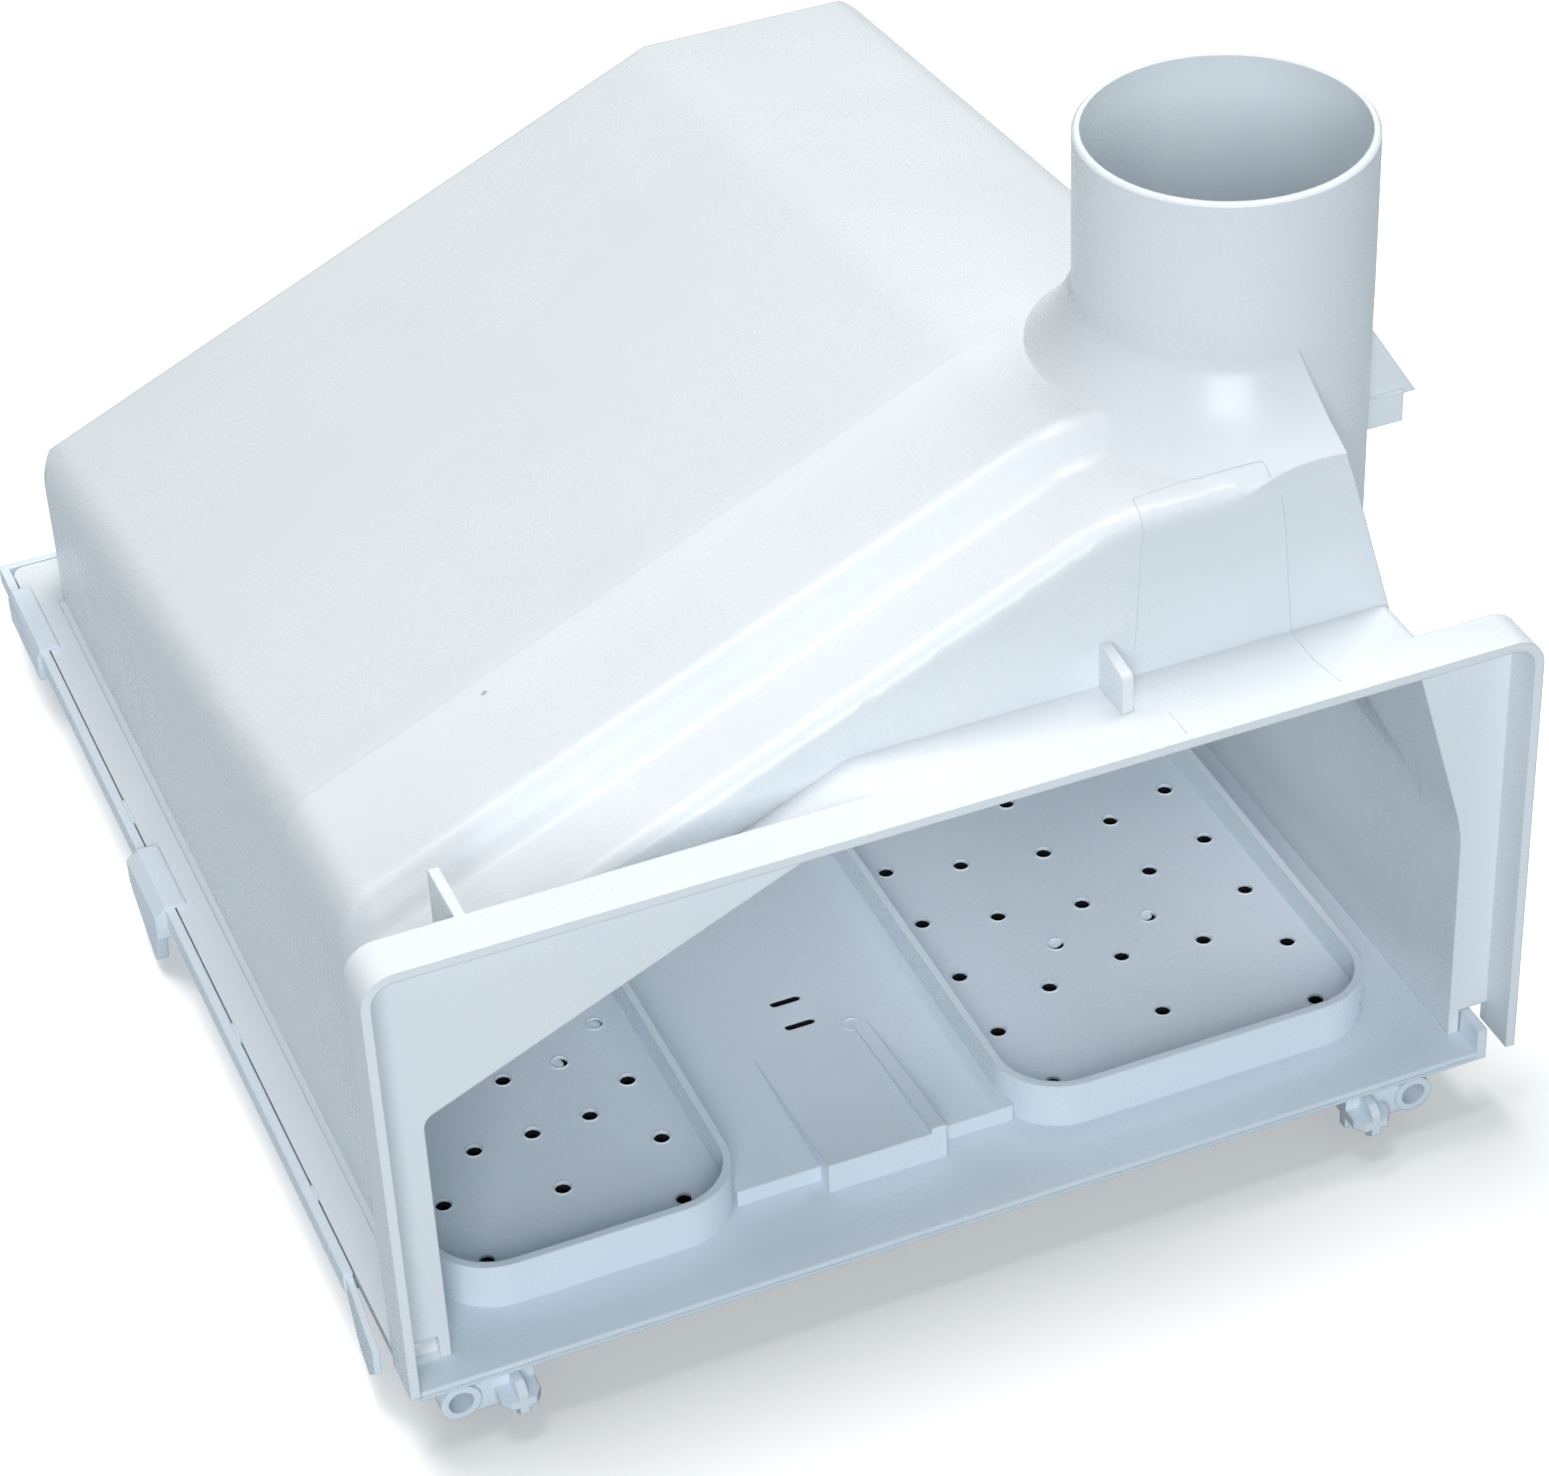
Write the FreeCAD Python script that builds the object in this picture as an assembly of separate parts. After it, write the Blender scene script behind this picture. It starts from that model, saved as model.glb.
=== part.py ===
import FreeCAD, Part
import math
import os

from FreeCAD import Vector as V

# Millimetres. The part lies with its outlet up, as it is pictured: x runs along the front from left to
# right, y from the front to the back and z up. While it is built, y = 0 is the hood's front edge, z = 0
# the top of the perforated plate's rim and x = 0 the hood's middle.

# Hood round the drawer opening
hood_width = 215.0
hood_height = 93.4
hood_depth = 9.4
hood_wall = 1.8
hood_corner = 6.0
front_plate_wall = 1.8
front_plate_foot = 5.2
front_plate_inset = 0.5

# Funnel body
body_wall = 2.0
body_left = -99.5
body_right = 100.0
front_wall_y = 20.0
back_wall_y = 264.0
corner_radius = 11.0
ramp_slope = 0.443
ramp_top_x = 34.7
ramp_top_slant = 0.244
lean_slope = 0.271
lean_round = 40.0
right_fan = 0.016
lean_start_z = 48.0

# Roof, seen from the side: tread, riser, crease and the long slope to the back
tread_front_z = 126.0
tread_back_y = 38.0
tread_back_z = 126.7
riser_back_y = 43.0
riser_top_z = 132.0
crease_y = 78.0
crease_z = 129.2
back_edge_z = 96.9

# Soft edges of the roof: how far each round starts from its corner
front_edge_cut = 4.5
tread_cut = 2.6
riser_cut = 2.6
crease_cut = 1.5
left_edge_cut = 9.0
ramp_top_cut = 6.0
back_edge_radius = 6.8
right_edge_radius = 7.0

# Drawer channel between the front plate and the funnel
channel_ramp_end_x = -14.3
channel_left_round = 5.0
channel_right_round = 2.5
channel_shelf_z = 93.4
channel_sink = 3.0

# Outlet spigot
spigot_x = 73.5
spigot_y = 57.0
spigot_top_z = 172.6
spigot_radius = 26.1
spigot_base_z = 143.0
spigot_wall = 1.4
spigot_rim_chamfer = 0.5
spigot_root_radius = 25.7
skirt_mid_radius = 29.6
skirt_mid_z = 135.5
skirt_radius = 37.0
skirt_z = 127.0
skirt_foot_radius = 41.0
skirt_foot_z = 121.0
skirt_root_z = 90.0
skirt_bands = 3
skirt_front_gap = 0.4
crest_wall = 1.4
crest_rise = 0.6
crest_drop = 1.2
crest_depth = 8.0
crest_front_gap = 0.6
crest_sink = 3.0
wing_reach = 8.0
wing_sink = 4.0
wing_top_z = 131.0
wing_tip_z = 115.5
wing_wall = 2.0
wing_y = 49.0
wing_tab_drop = 5.0
wing_tab_width = 5.0

# Ribs on the shelf
left_rib_x = -87.0
left_rib_wall = 2.0
left_rib_back_y = 22.7
left_rib_foot_z = 66.0
tab_x = 33.2
tab_wall = 2.2
tab_front_y = 11.2
tab_height = 9.0
tab_drop = 1.5
tab_round = 1.5

# Flange that sits on the perforated plate
flange_left = -107.0
flange_back = 270.0
flange_thick = 2.2
flange_corner = 3.0
flange_bead_width = 1.4
flange_bead_height = 0.5

# Perforated plate
lip_y = 1.1
lip_left = -105.4
lip_groove = 0.35
lip_groove_z = -1.5
plate_wall = 2.0
rim_gap = 0.3
rim_wall = 1.9
floor_z = 3.5
curb_z = 9.5
curb_wall = 1.6
well_front_y = 14.5
well_back_y = 190.0
well_corner = 13.0
left_well_x = -66.6
left_well_width = 57.6
right_well_x = 51.6
right_well_width = 74.4
bay_front_y = 20.7
bay_back_y = 190.0

# Shower holes, in mirrored columns about the middle of each well
hole_radius = 1.5
hole_sides = 10
right_centre_first_y = 32.7
right_inner_offset = 16.1
right_inner_first_y = 70.6
right_outer_offset = 30.1
right_outer_first_y = 40.4
right_pitch = 17.2
right_rows = 6
right_lone_inner_y = 47.7
right_pair_offset = 9.7
right_pair_y = 58.3
left_centre_first_y = 35.1
left_centre_pitch = 15.9
left_inner_offset = 11.2
left_inner_first_y = 51.1
left_outer_offset = 20.9
left_outer_first_y = 40.0
left_outer_pitch = 17.2
left_rows = 6
front_hole_y = 23.3
front_hole_inset = 10.2

# Wedge, guide rib and slots in the middle bay
wedge_left_x = -22.6
wedge_right_x = -1.8
wedge_front_y = 17.0
wedge_back_y = 59.0
wedge_rise = 3.0
guide_wall = 2.4
guide_rise = 1.2
wedge_sink = 0.5
slot_x = -11.0
slot_count = 2
slot_first_y = 58.0
slot_pitch = 7.2
slot_length = 6.0
slot_radius = 0.9

# Screw bosses and cross pins under the front lip
left_boss_x = -98.3
right_boss_x = 87.8
boss_z = -6.2
boss_radius = 3.7
boss_hole_radius = 2.3
boss_front_y = 1.8
boss_length = 12.0
boss_hole_depth = 9.0
hanger_wall = 2.4
hanger_front_y = 3.3
pin_inset = 10.0
pin_z = -6.6
pin_size = 7.4
pin_rib = 1.8
pin_front_y = -2.5
pin_back_y = 10.0
pin_tip_taper = 2.0
pin_tip_half = 2.3
pin_root_y = 3.1
web_y = 2.6
web_wall = 2.0
web_drop = 8.0
web_window = 4.0
web_window_drop = 1.6

# Snap hooks along the left edge
front_tab_y = 12.5
front_tab_offset = 1.7
front_tab_rise = 1.2
front_tab_drop = 8.3
front_tab_root_drop = 2.0
front_tab_wall = 1.3
front_tab_foot = 7.0
front_tab_foot_inset = 6.5
left_rim_front_y = 32.0
middle_hook_y = 143.0
middle_hook_length = 20.0
middle_hook_wall = 2.4
back_hook_y = 237.0
back_hook_length = 24.0
back_hook_wall = 1.0
hook_reach = 4.5
hook_height = 0.8
hook_bevel = 0.6
hook_shoulder = 1.2
hook_drop = 4.5
prong_drop = 8.5
prong_inset = 1.0
prong_tip = 1.4
prong_tip_inset = 3.6
prong_shoulder = 1.0

# Water distributor cover below the perforated plate
cover_left = -100.0
cover_right = 96.0
cover_front_gap = 0.4
cover_slope_depth = 10.0
cover_slope_rise = 7.0
cover_back_y = 246.0
cover_depth = 14.0
cover_wall = 2.0
cover_corner = 8.0
divider_wall = 2.0
divider_gap_y = 26.0
inlet_radius = 5.5
inlet_bore_radius = 4.0
inlet_length = 20.0
inlet_first_x = 20.0
inlet_pitch = 26.0
inlet_count = 2

# Room past an edge for what cuts, overlap of what is fused, a length past every edge of the part, and
# the distance under which two points are one
cut_room = 3.0
overlap = 1.0
far_off = 500.0
same = 1e-6


def box(x0, x1, y0, y1, z0, z1):
    return Part.makeBox(x1 - x0, y1 - y0, z1 - z0, V(x0, y0, z0))


def rounded_wire(points, to_space):
    """Closed wire through (a, b, radius) corners; to_space turns a and b into a point."""
    cut = []
    for i, (a, b, radius) in enumerate(points):
        here = V(a, b, 0)
        before = (V(*points[i - 1][:2], 0) - here).normalize()
        after = (V(*points[(i + 1) % len(points)][:2], 0) - here).normalize()
        if radius == 0:
            cut.append((here, here, here))
            continue
        half = before.getAngle(after) / 2
        reach = radius / math.tan(half)
        inward = (before + after).normalize()
        middle = here + inward * (radius / math.sin(half) - radius)
        cut.append((here + before * reach, middle, here + after * reach))
    edges = []
    for i, (start, middle, end) in enumerate(cut):
        place = [to_space(p.x, p.y) for p in (start, middle, end)]
        if (end - start).Length > same:
            edges.append(Part.Arc(*place).toShape())
        following = to_space(*list(cut[(i + 1) % len(cut)][0])[:2])
        if (following - place[2]).Length > same:
            edges.append(Part.makeLine(place[2], following))
    return Part.Wire(edges)


def plan_prism(points, z0, z1):
    face = Part.Face(rounded_wire(points, lambda a, b: V(a, b, z0)))
    return face.extrude(V(0, 0, z1 - z0))


def front_prism(points, y0, y1):
    face = Part.Face(rounded_wire(points, lambda a, b: V(a, y0, b)))
    return face.extrude(V(0, y1 - y0, 0))


def side_prism(points, x0, x1):
    face = Part.Face(rounded_wire(points, lambda a, b: V(x0, a, b)))
    return face.extrude(V(x1 - x0, 0, 0))


def slab(x0, x1, y0, y1, z0, z1, radius):
    return plan_prism([(x0, y0, radius), (x1, y0, radius), (x1, y1, radius), (x0, y1, radius)], z0, z1)


def fused(shapes):
    return shapes[0].multiFuse(shapes[1:]).removeSplitter()


def offset_corners(points, distance):
    """Corners of an open chain moved to its right-hand side."""
    lines = []
    for (a0, b0), (a1, b1) in zip(points, points[1:]):
        length = math.hypot(a1 - a0, b1 - b0)
        da, db = (a1 - a0) / length, (b1 - b0) / length
        lines.append((a0 + db * distance, b0 - da * distance, da, db))
    moved = []
    for (a0, b0, da0, db0), (a1, b1, da1, db1) in zip(lines, lines[1:]):
        cross = da0 * db1 - db0 * da1
        along = ((a1 - a0) * db1 - (b1 - b0) * da1) / cross
        moved.append((a0 + da0 * along, b0 + db0 * along))
    return moved


def soft_chain(points, cuts, flat):
    """Straight runs and rounds through points, as triples of poles with a straight flag.

    The rounds are parabolic, or plain chamfers where flat is set.
    """
    def between(p, q, share):
        return tuple(a + (b - a) * share for a, b in zip(p, q))

    def toward(p, q, cut):
        return between(p, q, cut / math.hypot(q[0] - p[0], q[1] - p[1]))

    runs = []
    last = None
    for i, cut in enumerate(cuts, 1):
        start = toward(points[i], points[i - 1], cut)
        end = toward(points[i], points[i + 1], cut)
        if last is not None:
            runs.append((last, between(last, start, 0.5), start, True))
        if cut > 0:
            runs.append((start, between(start, end, 0.5) if flat else points[i], end, flat))
        last = end
    return runs


def flat_faces(a, b, c, d):
    """One face for four corners in a plane, otherwise two triangles."""
    normal = (b - a).cross(c - a).normalize()
    rings = [[a, b, c, d]] if abs(normal.dot(d - a)) < same else [[a, b, c], [a, c, d]]
    return [Part.Face(Part.makePolygon(ring + ring[:1])) for ring in rings]


def patch(u, v):
    """Faces over a run of each chain: flat where both are straight, ruled where one is."""
    rows = u[:3:2] if u[3] else u[:3]
    columns = v[:3:2] if v[3] else v[:3]
    poles = [[roof_point(a, b) for b in columns] for a in rows]
    if u[3] and v[3]:
        return flat_faces(poles[0][0], poles[0][1], poles[1][1], poles[1][0])
    across, along = len(rows), len(columns)
    surface = Part.BSplineSurface()
    surface.buildFromPolesMultsKnots(poles, [across] * 2, [along] * 2, [0, 1], [0, 1], False, False,
                                     across - 1, along - 1)
    return [surface.toShape()]


def bent_edge(poles, straight):
    if straight:
        return Part.makeLine(poles[0], poles[2])
    curve = Part.BezierCurve()
    curve.setPoles(poles)
    return curve.toShape()


def roof_point(across, along):
    x, z, lean, climb, fan = across
    y, level = along
    return V(x - lean * level + fan * (y - front_wall_y), y, z + climb * level)


def knee_z(y):
    return lean_start_z + right_fan * (y - front_wall_y) / lean_slope


def wall_x(right, y, z):
    return right - lean_slope * (z - knee_z(y))


def skinned_solid(across, along, right, base_z):
    """Solid under the surface that the side chain sweeps along the front chain, down to base_z."""
    faces = [face for u in across for v in along for face in patch(u, v)]
    first, last = across[0][0], across[-1][2]
    left_edges = [bent_edge([roof_point(first, b) for b in v[:3]], v[3]) for v in along]
    right_edges = [bent_edge([roof_point(last, b) for b in v[:3]], v[3]) for v in along]
    feet = {}
    for name, level in (("front", along[0][0]), ("back", along[-1][2])):
        edges = [bent_edge([roof_point(a, level) for a in u[:3]], u[3]) for u in across]
        top_left, top_right = roof_point(first, level), roof_point(last, level)
        knee = V(right, level[0], knee_z(level[0]))
        foot_right = V(right, level[0], base_z)
        foot_left = V(top_left.x, level[0], base_z)
        feet[name] = (top_left, foot_left, top_right, knee, foot_right)
        ring = [top_right, knee, foot_right, foot_left, top_left]
        faces.append(Part.Face(Part.Wire(edges + Part.makePolygon(ring).Edges)))
    top_f, foot_f, edge_f, knee_f, right_f = feet["front"]
    top_b, foot_b, edge_b, knee_b, right_b = feet["back"]
    left_ring = Part.makePolygon([top_b, foot_b, foot_f, top_f]).Edges
    faces.append(Part.Face(Part.Wire(left_edges + left_ring)))
    lean_ring = Part.makePolygon([edge_b, knee_b, knee_f, edge_f]).Edges
    faces.append(Part.Face(Part.Wire(right_edges + lean_ring)))
    faces.append(Part.Face(Part.makePolygon([knee_f, knee_b, right_b, right_f, knee_f])))
    faces.append(Part.Face(Part.makePolygon([foot_f, right_f, right_b, foot_b, foot_f])))
    shell = Part.makeShell(faces)
    shell.sewShape()
    solid = Part.makeSolid(shell)
    if solid.Volume < 0:
        solid.reverse()
    return solid


def round_cutter(p, q, facing_a, facing_b, radius, run_out=cut_room):
    """What a rounded edge from p to q takes away; the facings are the normals of its two walls."""
    along = (q - p).normalize()
    bend = (facing_a + facing_b) * (1 / (1 + facing_a.dot(facing_b)))
    start = p - along * run_out
    centre = start - bend * radius
    side_a, side_b = centre + facing_a * radius, centre + facing_b * radius
    middle = centre + (facing_a + facing_b).normalize() * radius
    outer_a, outer_b = side_a + facing_a * cut_room, side_b + facing_b * cut_room
    ring = Part.makePolygon([side_b, outer_b, start + bend * cut_room, outer_a, side_a])
    edges = [Part.Arc(side_a, middle, side_b).toShape()] + ring.Edges
    return Part.Face(Part.Wire(edges)).extrude(q + along * cut_room - start)


def front_chain(left, right):
    """Corners of the roof seen from the front: x, z, then lean and climb for each unit of the side's height
    and fan for each unit of depth.

    The ramp's top edge and the leaning wall move sideways as the roof climbs, so each plane stays flat.
    """
    top = ramp_top_x + ramp_top_slant * crease_z
    left_z = -ramp_slope * (top - left)
    left_climb = 1 + ramp_slope * ramp_top_slant
    edge = right + lean_slope * lean_start_z
    return [
        (left, left_z - far_off, 0, left_climb, 0),
        (left, left_z, 0, left_climb, 0),
        (top, 0, ramp_top_slant, 1, 0),
        (edge, 0, lean_slope, 1, right_fan),
        (edge + lean_slope * far_off, -far_off, lean_slope, 1, right_fan),
    ]


def is_knee(edge, right):
    ends = [vertex.Point for vertex in edge.Vertexes]
    return all(abs(p.x - right) < same and abs(p.z - knee_z(p.y)) < same for p in ends)


def funnel(inset, base_z):
    side = [
        (front_wall_y, 0.0),
        (front_wall_y, tread_front_z),
        (tread_back_y, tread_back_z),
        (riser_back_y, riser_top_z),
        (crease_y, crease_z),
        (back_wall_y, back_edge_z),
        (back_wall_y, 0.0),
    ]
    side = [side[0]] + offset_corners(side, inset) + [side[-1]]
    side[0] = (side[1][0], 0.0)
    side[-1] = (side[-2][0], 0.0)
    left = body_left + inset
    right = body_right - inset * math.hypot(1, lean_slope)
    front = front_chain(left, right)
    side_cuts = [front_edge_cut, tread_cut, riser_cut, crease_cut, 0]
    front_cuts = [left_edge_cut, ramp_top_cut, 0]
    if inset > 0:
        side_cuts = [front_edge_cut / 2 - inset / 4, 0, 0, 0, 0]
        front_cuts = [left_edge_cut / 2 - inset / 4, 0, 0]
    across = soft_chain(front, front_cuts, inset > 0)
    along = soft_chain(side, side_cuts, inset > 0)
    body = skinned_solid(across, along, right, base_z)
    if inset == 0:
        body = body.makeFillet(lean_round, [edge for edge in body.Edges if is_knee(edge, right)])
    for cutter in back_rounds(front, side, inset, left, right, base_z):
        body = body.cut(cutter)
    return body


def back_rounds(front, side, inset, left, right, base_z):
    """Cutters for the roof's back and right edges and for the upright corners at the back."""
    crease, back = side[-3], side[-2]
    ramp_foot, ramp_top, edge = (roof_point(corner, back) for corner in front[1:4])
    left_crease, edge_crease = (roof_point(corner, crease) for corner in (front[1], front[3]))
    backward, leftward, rightward = V(0, 1, 0), V(-1, 0, 0), V(1, 0, 0)
    ramp_up = (ramp_top - ramp_foot).cross(ramp_foot - left_crease).normalize()
    top_up = rightward.cross(edge - edge_crease).normalize()
    wall_out = (edge - edge_crease).cross(V(-lean_slope, 0, 1)).normalize()
    knee = V(right, back[0], knee_z(back[0]))
    foot = V(right, back[0], base_z)
    left_foot = V(left, back[0], base_z)
    back_radius = back_edge_radius - inset
    upright = corner_radius - inset
    return [
        round_cutter(ramp_foot, ramp_top, ramp_up, backward, back_radius),
        round_cutter(ramp_top, edge, top_up, backward, back_radius),
        round_cutter(edge_crease, edge, top_up, wall_out, right_edge_radius - inset, 0),
        round_cutter(left_foot, ramp_foot, backward, leftward, upright),
        round_cutter(foot, knee, backward, rightward, upright),
        round_cutter(knee, edge, backward, wall_out, upright),
    ]


def channel(inset, y0, y1, base_z):
    left = body_left + inset
    right = body_right - inset * math.hypot(1, lean_slope)
    top = channel_shelf_z - inset
    drop = inset * (math.hypot(1, ramp_slope) - 1)
    ramp_end = channel_ramp_end_x + drop / ramp_slope
    outline = [
        (left, base_z, 0),
        (left, top - ramp_slope * (ramp_end - left), channel_left_round - inset),
        (ramp_end, top, 0),
        (right - lean_slope * (top - lean_start_z), top, channel_right_round),
        (right, lean_start_z, lean_round - inset),
        (right, base_z, 0),
    ]
    return front_prism(outline, y0, y1)


def spigot_outside():
    """The hose's seat and, below it, the slightly tapered root that reaches the leaning wall."""
    root = Part.makeCone(spigot_root_radius, spigot_radius, spigot_base_z - lean_start_z,
                         V(spigot_x, spigot_y, lean_start_z))
    base = V(spigot_x, spigot_y, spigot_base_z)
    seat = Part.makeCylinder(spigot_radius, spigot_top_z - spigot_base_z, base)
    rim = [edge for edge in seat.Edges if abs(edge.CenterOfMass.z - spigot_top_z) < same]
    return root.fuse(seat.makeChamfer(spigot_rim_chamfer, rim[:1]))


def skirt_profile(inset):
    """Points from the spigot's foot out to the hem: a hollow curve outside, a straight line inside."""
    neck = V(spigot_radius - inset, 0, spigot_base_z)
    hem = V(skirt_radius - inset, 0, skirt_z - inset)
    if inset > 0:
        return [neck, hem]
    curve = Part.Arc(neck, V(skirt_mid_radius, 0, skirt_mid_z), hem).toShape()
    return curve.discretize(skirt_bands + 1)


def skirt(inset):
    """Flare from the spigot down to the roof, ended by the front wall and the leaning right wall."""
    foot = skirt_foot_radius - inset
    ring = skirt_profile(inset) + [V(foot, 0, skirt_foot_z), V(foot, 0, skirt_root_z)]
    ring += [V(0, 0, skirt_root_z), V(0, 0, spigot_base_z)]
    flare = Part.Face(Part.makePolygon(ring + ring[:1])).revolve(V(0, 0, 0), V(0, 0, 1), 360)
    flare.translate(V(spigot_x, spigot_y, 0))
    right = body_right - inset * math.hypot(1, lean_slope)
    ends = []
    for y in (front_wall_y + inset + skirt_front_gap, back_wall_y):
        corners = [
            (body_left, lean_start_z),
            (wall_x(right, y, lean_start_z), lean_start_z),
            (wall_x(right, y, spigot_top_z), spigot_top_z),
            (body_left, spigot_top_z),
        ]
        ends.append(Part.makePolygon([V(x, y, z) for x, z in corners + corners[:1]]))
    return flare.common(Part.makeLoft(ends, True, True))


def crest():
    """Thin raised edge where the leaning wall cuts the skirt."""
    def on_wall(y, z):
        return V(wall_x(body_right, y, z) - crest_wall, y, z)

    front_y = front_wall_y + crest_front_gap
    back_y = spigot_y - spigot_radius + crest_sink
    foot_z = tread_front_z - crest_depth
    corners = [
        (back_y, spigot_base_z - crest_drop),
        (front_y, tread_front_z + crest_rise),
        (front_y, foot_z),
        (back_y, foot_z),
    ]
    ring = [on_wall(y, z) for y, z in corners]
    return Part.Face(Part.makePolygon(ring + ring[:1])).extrude(V(crest_wall, 0, 0))


def wing():
    """Three-cornered bracket on the spigot's right side with a small tab under it."""
    side = spigot_x + spigot_radius
    root = side - wing_sink
    outline = [(root, wing_top_z + wing_sink, 0), (side + wing_reach, wing_tip_z, 0), (root, wing_tip_z, 0)]
    plate = front_prism(outline, wing_y - wing_wall / 2, wing_y + wing_wall / 2)
    tab = box(root, side + wing_tab_width, wing_y - wing_wall, wing_y + wing_wall,
              wing_tip_z - wing_tab_drop, wing_tip_z + overlap)
    return plate.fuse(tab)


def hood():
    half = hood_width / 2
    inner = half - hood_wall
    top = hood_height - hood_wall
    outside = front_prism([(-half, 0, 0), (-half, hood_height, hood_corner),
                           (half, hood_height, hood_corner), (half, 0, 0)], 0, hood_depth)
    inside_round = hood_corner - hood_wall
    inside = front_prism([(-inner, -cut_room, 0), (-inner, top, inside_round), (inner, top, inside_round),
                          (inner, -cut_room, 0)], -cut_room, hood_depth + cut_room)
    side = half - front_plate_inset
    plate_top = hood_height - front_plate_inset
    plate = front_prism([(-side, front_plate_foot, 0), (-side, plate_top, hood_corner),
                         (side, plate_top, hood_corner), (side, front_plate_foot, 0)],
                        hood_depth - front_plate_wall, hood_depth)
    return outside.cut(inside).fuse(plate)


def shelf_ribs():
    left = box(left_rib_x - left_rib_wall / 2, left_rib_x + left_rib_wall / 2, hood_depth - overlap,
               left_rib_back_y, left_rib_foot_z, hood_height)
    top = channel_shelf_z + tab_height
    outline = [
        (tab_front_y, channel_shelf_z - overlap, 0),
        (front_wall_y + overlap, channel_shelf_z - overlap, 0),
        (front_wall_y + overlap, top, 0),
        (tab_front_y, top - tab_drop, tab_round),
    ]
    return [left, side_prism(outline, tab_x - tab_wall / 2, tab_x + tab_wall / 2)]


def flange():
    outline = [
        (flange_left, hood_depth, 0),
        (body_right, hood_depth, 0),
        (body_right, flange_back, 0),
        (flange_left, flange_back, flange_corner),
    ]
    plate = plan_prism(outline, 0, flange_thick)
    bead = box(body_left - flange_bead_width, body_left + overlap, front_wall_y,
               back_wall_y - corner_radius, 0, flange_thick + flange_bead_height)
    return [plate, bead]


def housing():
    outside = [
        funnel(0, 0),
        channel(0, hood_depth - front_plate_wall, front_wall_y + channel_sink, 0),
        hood(),
        skirt(0),
        spigot_outside(),
        crest(),
        wing(),
    ]
    outside += shelf_ribs() + flange()
    bore = Part.makeCylinder(spigot_radius - spigot_wall, spigot_top_z - lean_start_z,
                             V(spigot_x, spigot_y, lean_start_z + cut_room))
    inside = [
        funnel(body_wall, -cut_room),
        channel(body_wall, -cut_room, front_wall_y + body_wall + cut_room, -cut_room),
        skirt(body_wall),
        bore,
    ]
    return fused(outside).cut(fused(inside)).removeSplitter()


def well_slab(centre, width, inset, z0, z1):
    half = width / 2 - inset
    radius = well_corner - inset
    return slab(centre - half, centre + half, well_front_y + inset, well_back_y - inset, z0, z1, radius)


def wells(inset, z0, z1):
    return [
        well_slab(left_well_x, left_well_width, inset, z0, z1),
        well_slab(right_well_x, right_well_width, inset, z0, z1),
    ]


def bay_ends():
    return left_well_x + left_well_width / 2, right_well_x - right_well_width / 2


def hole_places():
    places = []
    for k in range(right_rows):
        places.append((right_well_x, right_centre_first_y + k * right_pitch))
        for turn in (-1, 1):
            places.append((right_well_x + turn * right_outer_offset, right_outer_first_y + k * right_pitch))
    for k in range(right_rows - 2):
        for turn in (-1, 1):
            places.append((right_well_x + turn * right_inner_offset, right_inner_first_y + k * right_pitch))
    for k in range(left_rows):
        places.append((left_well_x, left_centre_first_y + k * left_centre_pitch))
    for k in range(left_rows - 1):
        for turn in (-1, 1):
            inner_y = left_inner_first_y + k * left_centre_pitch
            outer_y = left_outer_first_y + k * left_outer_pitch
            places.append((left_well_x + turn * left_inner_offset, inner_y))
            places.append((left_well_x + turn * left_outer_offset, outer_y))
    for turn in (-1, 1):
        places.append((right_well_x + turn * right_inner_offset, right_lone_inner_y))
        places.append((right_well_x + turn * right_pair_offset, right_pair_y))
        places.append((right_well_x + turn * (right_well_width / 2 - front_hole_inset), front_hole_y))
        places.append((left_well_x + turn * (left_well_width / 2 - front_hole_inset), front_hole_y))
    return places


def shower_holes():
    """Many-sided holes through the floor of the wells."""
    turn = 2 * math.pi / hole_sides
    ring = [V(hole_radius, 0, 0)]
    for k in range(1, hole_sides + 1):
        ring.append(V(hole_radius * math.cos(k * turn), hole_radius * math.sin(k * turn), 0))
    foot = floor_z - plate_wall - overlap
    holes = []
    for x, y in hole_places():
        hole = Part.Face(Part.makePolygon(ring)).extrude(V(0, 0, plate_wall + 2 * overlap))
        hole.translate(V(x, y, foot))
        holes.append(hole)
    return holes


def wedge():
    """Raised middle of the bay: a wedge that ends in a step at the front, and the guide rib beside it."""
    def run(rise):
        top = floor_z + rise
        return [(wedge_front_y, -plate_wall, 0), (wedge_back_y, -plate_wall, 0),
                (wedge_back_y, floor_z - wedge_sink, 0), (wedge_front_y, top, 0)]

    step = side_prism(run(wedge_rise), wedge_left_x, wedge_right_x)
    guide = side_prism(run(wedge_rise + guide_rise), wedge_right_x - wedge_sink, wedge_right_x + guide_wall)
    return [step, guide]


def wedge_pocket():
    inner_z = floor_z - plate_wall
    front = wedge_front_y + curb_wall
    return box(wedge_left_x + curb_wall, wedge_right_x + guide_wall - curb_wall, front,
               wedge_back_y, -plate_wall - overlap, inner_z)


def slots():
    cutters = []
    for k in range(slot_count):
        y = slot_first_y + k * slot_pitch
        cutters.append(slab(slot_x - slot_length / 2, slot_x + slot_length / 2, y - slot_radius,
                            y + slot_radius, -cut_room, floor_z + cut_room, slot_radius))
    return cutters


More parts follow.
